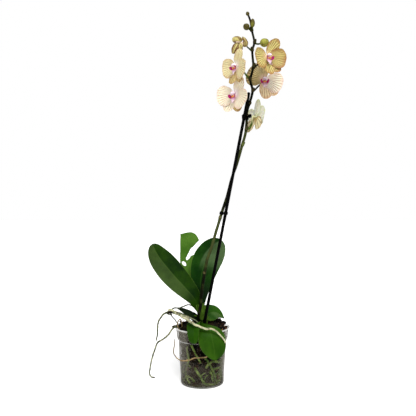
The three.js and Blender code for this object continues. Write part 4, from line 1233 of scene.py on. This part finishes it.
def flower_frame(flower):
    """Turns a flower's (x, y, out), in mm, into the plant's. It faces the viewer at turn 0;
    turn swings it about the upright, positive to the viewer's left, and nod tips it down."""
    turned, nod = np.radians([flower["turn"], flower["nod"]])
    facing = np.array([-np.sin(turned) * np.cos(nod), -np.cos(turned) * np.cos(nod), -np.sin(nod)])
    right = np.array([np.cos(turned), -np.sin(turned), 0])
    basis = np.array([right, np.cross(facing, right), facing])
    return lambda local: np.asarray(flower["centre"], float) + np.asarray(local, float) @ basis


print("flowers in the table:", list(FLOWERS))

# %% [markdown]
# A petal is a thin blade laid out by polar measures: how far along it a point is, and how far
# across. It is bent into a shallow bowl by raising it with the square of the distance from
# the flower's centre, and its margin is rippled. The veins spread from the petal's foot like
# a fan, so what each point stores is its distance across over a length that grows along the
# petal. Lines of equal value are then the veins, and the finish only has to draw them.

# %% Petals and sepals
PETAL_THICKNESS = 0.8
BLADE_FOOT = 1.9  # mm from the flower's centre to where a blade starts
FULL_REACH, FADE_REACH = 37.0, 39.0  # mm: where the bowl is bow mm deep, and colours end


def tepal(flower, degrees, length, half_width, shape, depth, seed, ruffle=1.3, curl=0.0):
    """out = depth + bow (distance / FULL_REACH)^2 + ruffle times a wave that grows with |s|
    cubed and towards the tip, + curl times t cubed, which tips the end forwards. A groove
    runs down the middle."""
    t, s, side_of = blade_grid(64, 72)
    size, bow, a = flower["size"], flower["bow"], np.radians(degrees)
    across = s * half_width * size * shape(t)
    reach = BLADE_FOOT + t * length * size + 0 * across
    edge = np.abs(s) ** 3 * np.clip(t * 3, 0, 1) + 0.6 * t**5
    spots = np.stack([reach, across, 0 * across], axis=-1)
    across = across * (1 + 0.035 * waves(spots, 13, seed + 50) * edge)
    x = reach * np.cos(a) - across * np.sin(a)
    y = reach * np.sin(a) + across * np.cos(a)
    out = depth + bow * (np.hypot(x, y) / FULL_REACH) ** 2 + curl * t**3
    out = out + ruffle * (waves(spots, 30, seed) + 0.5 * waves(spots, 12, seed + 9)) * edge
    out = out - 0.55 * np.exp(-(s / 0.07) ** 2) * np.sin(np.pi * t) ** 0.5
    out = out + side_of * PETAL_THICKNESS / 2
    fan = across / (5.0 + 0.78 * (reach - BLADE_FOOT)) / size
    place = flower_frame(flower)
    foot, tip = (place((r * np.cos(a), r * np.sin(a), depth + bow * (r / FULL_REACH) ** 2 + c))
                 for r, c in ((BLADE_FOOT, 0.0), (BLADE_FOOT + length * size, curl)))
    return closed_rings(place(np.stack([x, y, out], axis=-1)), foot, tip, fan=fan,
                        reach=np.hypot(x, y) / (FADE_REACH * size), margin=np.abs(s), front=side_of)


VEIN_COUNT = 5.6  # veins to one unit of fan, about from the middle line to the margin


def petal_finish(name, ground, heart, edge, vein, veins=0.6, edging=0.6, spread=0.35, count=VEIN_COUNT):
    """ground is the blade's own colour, heart the colour near the middle of the flower, edge
    that of the margin, and vein that of its veins. veins and edging say how strong the last
    two are, and spread how far in from the margin the edge's colour comes."""
    petal = Finish(name)
    fan, reach = petal.mark("fan"), petal.mark("reach")
    margin, front = petal.mark("margin"), petal.mark("front")
    cloud = petal.noise(70.0, 3.0, 0.5)
    flecks = petal.noise(420.0, 4.0, 0.65)
    wander = petal.times(petal.sum(petal.noise(110.0, 2.0, 0.5), 0.5, "SUBTRACT"), 0.1)
    wave = petal.sum(petal.times(petal.sum(fan, wander), count * 2 * np.pi), 0.0, "SINE")
    broken = petal.span(petal.sum(flecks, petal.times(cloud, 0.5)), 0.52, 0.72, 0.35, 1.0)
    line = petal.span(wave, 0.1, 0.9)
    for limit in (broken, petal.span(reach, 0.08, 0.3), petal.span(reach, 0.78, 1.0, 1.0, 0.45),
                  petal.span(front, -0.1, 0.1, 0.55, 1.0)):
        line = petal.times(line, limit)
    tipwards = petal.sum(petal.span(margin, 1.0 - spread, 1.0), petal.span(reach, 0.8, 1.0), "MAXIMUM")
    tipwards = petal.times(tipwards, petal.span(cloud, 0.25, 0.6, 0.45, 1.0))
    colour = petal.layers(
        heart, (petal.span(reach, 0.1, 0.42), 1.0, ground), (petal.span(cloud, 0.45, 0.7), 0.2, edge),
        (tipwards, edging, edge), (line, veins, vein))
    petal.skin_is(colour=colour, rough=0.55, gloss=0.3, through=0.12, through_scale=0.003,
                  through_radius=(1.0, 0.7, 0.4), sheen=0.06)
    petal.bump(petal.sum(petal.times(wave, 0.5), flecks), 0.00022, 0.6)
    return petal


PETAL_SKINS = {  # ground, heart, edge, vein, and the numbers that follow them in petal_finish
    "pale petal": ((244, 236, 208), (250, 236, 238), (232, 182, 168), (160, 120, 82), 0.7, 0.5),
    "cream petal": ((238, 226, 174), (246, 236, 220), (206, 156, 118), (140, 106, 56), 0.85, 0.55),
    "yellow petal": ((213, 201, 124), (236, 208, 160), (156, 98, 50), (120, 84, 34), 0.95, 0.8, 0.5),
    "blush petal": ((252, 246, 222), (248, 230, 230), (230, 172, 158), (146, 104, 64), 0.7, 0.5),
    "green white petal": ((244, 244, 226), (226, 230, 190), (200, 212, 142), (150, 130, 84), 0.4, 0.6),
    # a dark olive skin that paints the shadow cast by the flower above
    "petal in painted shadow": ((152, 130, 82), (232, 196, 176), (96, 68, 30), (222, 208, 150), 0.95, 0.85, 0.7),
    "striped sepal": ((232, 220, 174), (184, 164, 96), (146, 102, 56), (96, 64, 24), 1.0, 0.6, 0.4, 2.4),
    "tan sepal": ((224, 202, 136), (228, 196, 160), (152, 104, 60), (122, 84, 42), 0.8, 0.75, 0.45),
    "peach sepal": ((248, 226, 186), (238, 210, 182), (214, 158, 116), (160, 116, 72), 0.75, 0.7, 0.45),
    # a darker copy of the yellow petal, as painted shade
    "yellow petal in painted shade": ((186, 170, 100), (234, 204, 150), (148, 88, 44), (118, 80, 32), 0.75, 0.85, 0.5),
    "half open flower": ((198, 186, 112), (232, 208, 186), (104, 64, 28), (96, 60, 24), 0.85, 1.0, 0.45),
}
petal_skins = {name: petal_finish(name, *row) for name, row in PETAL_SKINS.items()}
print("petal finishes:", len(petal_skins))

# %% [markdown]
# The lip is the flower's landing place. Its two side lobes stand up like cupped hands, its
# middle lobe points forwards and down and ends in two curled threads, and between them is a
# knobbly orange crest. The column stands over it, white and blunt. All are drawn in the
# flower's own frame, and a number stored with each says how magenta or how orange it is.

# %% Lips
def lip(flower, seed):
    """A lip and its column. pink is how magenta a part is and gold how orange, and a wing's
    pink is a function of the share of its length."""
    frame_of = flower_frame(flower)
    place = lambda local: frame_of(np.asarray(local, float) * flower["size"])
    parts = []

    def blob(centre, radii, pink, gold, rough=0.05):
        """Adds a lump round the centre, of one pink and one gold all over."""
        made = lump((0, 0, 0), radii, seed + len(parts), rough)
        made["verts"] = place(made["verts"] + np.asarray(centre, float))
        parts.append(marked(made, pink=pink, gold=gold))

    def wing(rib, face, half_width, foot, tip, cup, pink):
        """Adds a cupped lobe along the rib, whose face looks the way that face points."""
        made = strap(rib, [face, face], half_width, foot, tip, cup=cup, wave=0.25, thick=0.9,
                     rows=40, around=40, seed=seed + len(parts), place=place)
        parts.append(marked(made, pink=pink(made["marks"]["lengthwise"]), gold=0.0))

    def thread(points, r, pink, gold):
        """Adds a thread of radius r at its foot, that thins to its tip."""
        made = tube([place(p) for p in points], lambda t: r * (1 - 0.7 * t), 24, 8)
        parts.append(marked(made, pink=pink, gold=gold))

    blob((0, 0.6, 4.8), (3.7, 3.6, 5.0), 0.02, 0.0)  # the column, its cap and its beak
    blob((0, 0.2, 9.4), (3.0, 2.8, 2.4), 0.1, 0.0)
    blob((0, -1.9, 10.6), (1.5, 0.9, 1.1), 0.55, 0.1)
    blob((0, -5.9, 5.4), (4.2, 2.8, 2.6), 0.5, 0.6)  # the lip's throat
    for side in (-1, 1):  # half of the crest, a side lobe and a thread
        blob((side * 1.5, -6.6, 8.0), (1.5, 1.5, 1.3), 0.15, 1.0, rough=0.12)
        wing([(side * 2.4, -5.8, 4.0), (side * 4.6, -6.4, 6.2), (side * 6.4, -5.0, 8.6),
              (side * 6.7, -1.8, 10.6)], (-side * 0.8, 0.1, 0.6), 3.6, 0.5, 0.5, 0.35,
             pink=lambda run: 0.7 + 0.3 * np.clip(run * 3, 0, 1))
        thread([(side * 0.8, -18.4, 9.4), (side * 2.6, -19.8, 9.9), (side * 4.1, -18.9, 10.8),
                (side * 3.7, -17.4, 11.4)], 0.5, 0.35, 0.3)
    wing([(0, -5.2, 5.2), (0, -9.4, 7.0), (0, -14.0, 8.8), (0, -18.8, 9.2)], (0, 0.35, 1.0), 6.0,
         0.45, 1.0, 0.3, pink=lambda run: 0.9 - 0.65 * np.clip(run * 1.6 - 0.2, 0, 1))
    return parts


lip_finish = Finish("lip")
pink, gold = lip_finish.mark("pink"), lip_finish.mark("gold")
mottle = lip_finish.noise(520.0, 4.0, 0.6)
dots = lip_finish.add("ShaderNodeTexVoronoi", {"Vector": lip_finish.place(), "Scale": 900.0})
crest = lip_finish.blend(lip_finish.span(dots.outputs["Distance"], 0.45, 0.25),
                         (226, 140, 40), (140, 24, 22))
lip_colour = lip_finish.layers(
    (252, 242, 248), (pink, 1.0, (176, 12, 104)),
    (lip_finish.span(mottle, 0.4, 0.65), 0.5, lip_finish.blend(pink, (222, 160, 214), (112, 8, 66))),
    (lip_finish.span(gold, 0.35, 0.75), 1.0, crest))
lip_finish.skin_is(colour=lip_colour, rough=0.42, gloss=0.35, through=0.12, through_scale=0.002)
lip_finish.bump(mottle, 0.0003, 0.5)
print("lip finish:", len(lip_finish.tree.nodes), "nodes")

# %% The open flowers
for number, (name, flower) in enumerate(FLOWERS.items()):
    seed = 700 + 40 * number
    top_sepal = dict(SEPAL, length=flower.get("dorsal_length", SEPAL["length"]))
    (left_low, right_low), (left_side, right_side) = flower["laterals"], flower["petals"]
    blades = {
        "dorsal_sepal": tepal(flower, flower["dorsal"], **top_sepal, depth=-1.3, seed=seed + 1,
                              ruffle=0.9, curl=flower.get("lean", 0)),
        "left_sepal": tepal(flower, left_low, **SEPAL, depth=-1.3, seed=seed + 2, curl=-1.0),
        "right_sepal": tepal(flower, right_low, **SEPAL, depth=-2.7, seed=seed + 3, curl=-1.0),
        "left_petal": tepal(flower, left_side, **PETAL, depth=0, seed=seed + 4, ruffle=1.8),
        "right_petal": tepal(flower, right_side, **PETAL, depth=0, seed=seed + 5, ruffle=1.8),
    }
    for part, shape in blades.items():
        skin = petal_skins[flower["others"].get(part, flower["skin"])]
        piece(f"{name}_{part}_blade", [shape], skin, f"flower_{name}_{part}")
    piece(f"{name}_lip_form", lip(flower, seed + 20), lip_finish, f"flower_{name}_lip")
print("open flowers:", len(FLOWERS))

# %% [markdown]
# ## Buds and the flower that is opening
#
# A bud is closed by three thick sepals that meet in seams from its foot to its point, so it
# is a ball with three shallow grooves, drawn out a little at the tip. The older a bud is, the
# further a dull brown has spread over its green.

# %% Bud shape
def bud(centre, radii, stem_from, seed):
    """At the angle t from the foot, the bud is as wide as sin t to the power 0.9, less a
    groove in three places round it. The axis points away from where the stem comes in."""
    centre = np.asarray(centre, float)
    radii = np.asarray(radii, float)
    axis = unit(centre - np.asarray(stem_from, float))
    side = unit(np.cross(axis, (0.3, 1, 0.1)))
    other = np.cross(axis, side)
    t = np.linspace(0, np.pi, 42)[1:-1][:, None]
    a = np.linspace(0, 2 * np.pi, 60, endpoint=False)[None]
    wide = np.sin(t) ** 0.9 * (1 - 0.055 * np.exp(-((np.sin(1.5 * a + seed) / 0.22) ** 2)))
    far = -np.cos(t) + 0.1 * np.clip(-np.cos(t), 0, 1) ** 6
    ball = (side * (wide * np.cos(a))[..., None] + other * (wide * np.sin(a))[..., None]
            + axis * (far + 0 * a)[..., None])
    ball = ball * (1 + 0.03 * waves(ball, 1.3, seed))[..., None]
    seam = np.exp(-((np.sin(1.5 * a + seed) / 0.16) ** 2)) + 0 * t
    return closed_rings(centre + ball * radii, centre - axis * radii, centre + 1.1 * axis * radii,
                        lengthwise=t / np.pi + 0 * a, seam=seam)


OLIVE, YELLOW_GREEN, BUD_BROWN = (116, 116, 38), (160, 158, 66), (58, 44, 14)
BUDS = {  # centre, radii, where the stem comes in, seed, how far the brown has spread, green
    "bud_left": ((93, -34, 757), (6.7, 6.4, 6.9), (101, -30.5, 752), 1, 0.8, OLIVE),
    "bud_upper": ((105.5, -36.5, 764), (5, 4.8, 8.6), (105.4, -33, 752.5), 2, 0.35, OLIVE),
    "bud_right": ((130, -40, 722), (9.2, 8.6, 9), (117, -31, 722), 3, 0.1, YELLOW_GREEN),
    "bud_tip": ((95.8, -30.2, 786), (3.8, 3.6, 4.2), (97.5, -30, 782), 4, 0.55, OLIVE),
}
SEATS = {  # where each side stem leaves the spike, and the point it bends through
    "bud_left": [(105, -28, 750), (101, -30.5, 752)],
    "bud_upper": [(105, -28.3, 752), (105.4, -32, 752.5)],
    "bud_right": [(110, -27, 725), (117, -31, 722)],
    "opening": [(106, -26, 709), (102, -30, 710)],
}


def bud_finish(name, green, brown, flush):
    """flush is how far the brown has spread over the green."""
    skin = Finish(name)
    lengthwise, seam = skin.mark("lengthwise"), skin.mark("seam")
    cloud, speck = skin.noise(130.0, 4.0, 0.55), skin.noise(700.0, 3.0, 0.6)
    spread = skin.sum(skin.times(cloud, 0.8), skin.sum(skin.times(lengthwise, 0.5), flush - 0.6))
    colour = skin.layers(
        green, (skin.span(cloud, 0.35, 0.65), 1.0, darker(green, 0.7)),
        (skin.span(spread, 0.2, 0.6), 0.75, brown), (seam, 0.6, brown),
        (skin.span(speck, 0.6, 0.7), 0.3, (222, 214, 140)))
    skin.skin_is(colour=colour, rough=0.5, gloss=0.15, through=0.08, through_scale=0.002)
    skin.bump(speck, 0.0002, 0.5)
    return skin


for name, (centre, radii, stem_from, seed, flush, green) in BUDS.items():
    skin = bud_finish(name + " skin", green, BUD_BROWN, flush)
    piece(name + "_form", [bud(centre, radii, stem_from, seed)], skin, name)
print("buds:", len(BUDS))

# %% [markdown]
# In the flower that is opening the sepals have begun to part. The top one still stands as a
# hood over it, shaped like a bud. Four cupped blades hang below it and beside it, and three
# small rounded lumps between them close the flower's heart. The hood's underside and the two
# browner lumps are browned as painted shade of the opening. All of them take a petal's
# finish, so each is given the numbers that this finish reads.

# %% The flower that is opening
OPENING_SEAT = (92.5, -34, 717)
HOOD, HOOD_RADII = (73.8, -36, 729), (10.6, 8.6, 7.6)
HANGING = [  # rib, face, half width, foot, tip, cup, and how brown in the middle and at the edge
    ([(76, -39, 725), (71.5, -43.5, 717), (67, -44.5, 708), (63.5, -41, 698.5)],
     [(-0.3, -1, 0.1), (-0.3, -0.9, -0.2)], 7.6, 0.4, 0.5, 0.4, 0.32, 1.25),
    ([(82, -38, 725), (81, -42.5, 716), (78.5, -42, 707), (76.5, -38.5, 701)],
     [(0.35, -1, 0.1), (0.35, -0.9, -0.2)], 6.2, 0.4, 0.5, 0.4, 0.0, 0.9),
    ([(80, -32, 724), (76, -29.5, 713), (73, -30, 704), (70.5, -33, 697.5)],
     [(0.1, 1, 0.1), (0, 1, 0.2)], 9.5, 0.4, 0.5, 0.45, 0.1, 0.9),
    ([(93.5, -35, 715), (93.2, -39.2, 721.5), (89.5, -40.2, 729), (84.5, -38, 735.5)],
     [(0.3, -1, 0), (0.3, -1, 0.2)], 4.8, 0.55, 0.55, 0.5, 0.45, 1.25),
]
# margin browns a lump; on the two browner lumps this is painted shade of the opening
HEARTS = [  # centre, radii, reach, margin
    ((80.5, -36, 719), (6.5, 5.2, 7), 0.15, 0.3),
    ((89, -36, 721), (4.6, 4.2, 7.2), 0.7, 0.9),
    ((74.5, -42.6, 722.0), (5.2, 3.2, 2.6), 0.2, 0.72),
]

opening_parts = []
for k, (rib, face, half, foot, tip, cup, middle, edge) in enumerate(HANGING):
    blade = strap(rib, face, half, foot, tip, cup=cup, wave=0.5, thick=1.1, rows=56, around=52,
                  seed=80 + k)
    run, s, upper = (blade["marks"][key] for key in ("lengthwise", "across", "upper"))
    brown = np.clip(np.abs(s) * edge + middle, 0, 1)
    opening_parts.append(marked(blade, fan=s * 0.35, reach=0.4 + 0.45 * run, margin=brown, front=upper))
hood = bud(HOOD, HOOD_RADII, (86, -34, 722), 5)
spread = (hood["verts"] - HOOD) / HOOD_RADII
# painted shade: the hood's underside is browned like the margins
below = np.clip(-1.3 * spread[:, 2] + 0.05, 0, 1)
opening_parts.append(marked(hood, fan=spread[:, 2] * 0.1 + spread[:, 0] * 0.07, reach=0.55,
                            margin=np.maximum(below, hood["marks"]["seam"] * 0.9), front=0.5))
for centre, radii, reach, margin in HEARTS:
    heart = lump(centre, radii, 91, 0.1)
    rise = (heart["verts"][:, 0] - centre[0]) / radii[0]
    opening_parts.append(marked(heart, fan=rise * 0.4, reach=reach, margin=margin, front=0.4))
piece("opening_flower", opening_parts, petal_skins["half open flower"], "flower_opening")
print("parts of the opening flower:", len(opening_parts))

# %% [markdown]
# ## Side stems and clips
#
# Each flower and bud hangs on a thin stem of its own. They belong to the spike, so they are
# joined to it in one piece, and share its skin.

# %% Side stems
def side_stem(points, r0, r1, fresh, pale=0.0):
    """fresh is how green the stem is. pale is how far it takes on its flower's own colour."""
    return tube(points, lambda t: r0 + (r1 - r0) * t**2, 60, 12,
                lambda spots: 0.08 * waves(spots, 9, 17), dry=0.0, fresh=fresh, pale=pale)


stems = []
for name, flower in FLOWERS.items():
    place = flower_frame(flower)
    line = flower["stem"] + [place((0, 0, -9)), place((0, 0, -4)), place((0, 0, 1.2))]
    stems.append(side_stem(line, 1.9, 1.6, 0.9 if name in ("low_right", "mid_left") else 0.0,
                           lambda t: np.clip(4 * t - 1.6, 0, 1) * (name == "low_right")))
for name, route in SEATS.items():
    goal = OPENING_SEAT if name == "opening" else BUDS[name][0]
    stems.append(side_stem(route + [goal], 1.8, 1.3, 0.35))
print("side stems:", len(stems))

# %% [markdown]
# The skin of the spike is a green so dark that it looks black against the light, with painted
# light making it paler over two stretches that face the light. Its marks say where a part is
# fresh and green, like some side stems, where it is dry, like a bract, and where it turns pale
# like its flower.

# %% Spike skin
stem = Finish("spike skin")
up_it = stem.add("ShaderNodeSeparateXYZ", {"Vector": stem.place()}).outputs["Z"]
grain = stem.noise(1.0, 4.0, 0.6, stem.drawn_out(700.0, 700.0, 60.0))
cloud = stem.noise(60.0, 3.0, 0.5)
# painted light: two stretches of the spike that face the light are paler
lit_low = stem.times(stem.span(up_it, 0.22, 0.3), stem.span(up_it, 0.385, 0.355))
lit_high = stem.times(stem.span(up_it, 0.44, 0.5), stem.span(up_it, 0.56, 0.52))
patchy = stem.times(stem.span(cloud, 0.5, 0.7), stem.span(up_it, 0.45, 0.55, 0.25, 0.1))
stem_colour = stem.layers(
    (10, 11, 4),
    (stem.sum(lit_low, lit_high, clamp=True), 1.0, (60, 66, 34)),
    (patchy, 1.0, (86, 98, 44)),
    (stem.mark("fresh"), 0.7, (88, 112, 34)),
    (stem.span(grain, 0.5, 0.75), 0.35, (26, 22, 12)),
    (stem.mark("dry"), 1.0, (138, 124, 82)),
    (stem.mark("pale"), 1.0, (204, 204, 158)))
stem.skin_is(colour=stem_colour, rough=0.5, gloss=0.03)
stem.bump(grain, 0.0003, 0.5)
piece("spike", [spike_body] + bracts + stems, stem, "flower_spike")
print("spike skin:", len(stem.tree.nodes), "nodes")

# %% [markdown]
# The two clips are sprung black plastic: a collar round the stake and another round the
# spike, joined by a web. The upper one is taller, and has a thumb knob on its right and two
# short jaws on its left.

# %% Clips
CLIP_R = 4.75
LOW_ON_STAKE, LOW_ON_SPIKE = (50, -17.9, 366), (41.5, -12, 366)
HIGH_ON_STAKE, HIGH_ON_SPIKE = (89.3, -19.6, 571), (95, -14, 571)
HIGH_WEB_LIFT = (0, 0, 3)  # its web is joined above the collars' middle
STAKE_RUN, LOW_RUN, HIGH_RUN = STAKE_TOP - STAKE_FOOT, (9, 0, 30), (0.5, 0, 25)


def collar(spot, line, height):
    """A sleeve with rounded edges round a rod that runs along line, centred at spot. A fine
    groove runs round its middle."""
    run = unit(np.asarray(line, float)) * height / 2
    spot = np.asarray(spot, float)
    full = lambda t: CLIP_R * (1 - 0.28 * np.abs(2 * t - 1) ** 5) - 0.35 * np.exp(-((t - 0.5) / 0.09) ** 2)
    return tube([spot - run, spot, spot + run], full, 30, 26, round_ends=False)


def web(a, b, end, middle):
    """A rounded bar between two spots, with its radius at its ends and at its middle."""
    a, b = np.asarray(a, float), np.asarray(b, float)
    return tube([a, (a + b) / 2, b], lambda t: end + (middle - end) * np.sin(np.pi * t), 20, 16)


lower_clip = [
    collar(LOW_ON_STAKE, STAKE_RUN, 6.5),
    collar(LOW_ON_SPIKE, LOW_RUN, 6.5),
    web(LOW_ON_STAKE, LOW_ON_SPIKE, 2.6, 2.0),
]
knob = tube([(95, -17, 572), (98.5, -18.5, 572.6), (103, -19, 572.6)],
            lambda t: 2.2 + 2.5 * np.exp(-((t - 0.8) / 0.3) ** 2), 30, 18)
jaws = [
    tube([(88, -20, 567), (85.6, -21.3, 570), (84.8, -21.6, 574)], lambda t: 1.7 - 0.7 * t, 20, 12),
    tube([(88, -20, 574), (86, -21, 570), (85.4, -21.4, 566)], lambda t: 1.6 - 0.5 * t, 20, 12),
]
upper_clip = [
    collar(HIGH_ON_STAKE, STAKE_RUN, 11),
    collar(HIGH_ON_SPIKE, HIGH_RUN, 11),
    web(np.add(HIGH_ON_STAKE, HIGH_WEB_LIFT), np.add(HIGH_ON_SPIKE, HIGH_WEB_LIFT), 2.4, 2.2),
    knob, *jaws,
]
piece("lower_clip", lower_clip, black, "clip_lower")
piece("upper_clip", upper_clip, black, "clip_upper")
print("clip shapes:", len(lower_clip), "and", len(upper_clip))
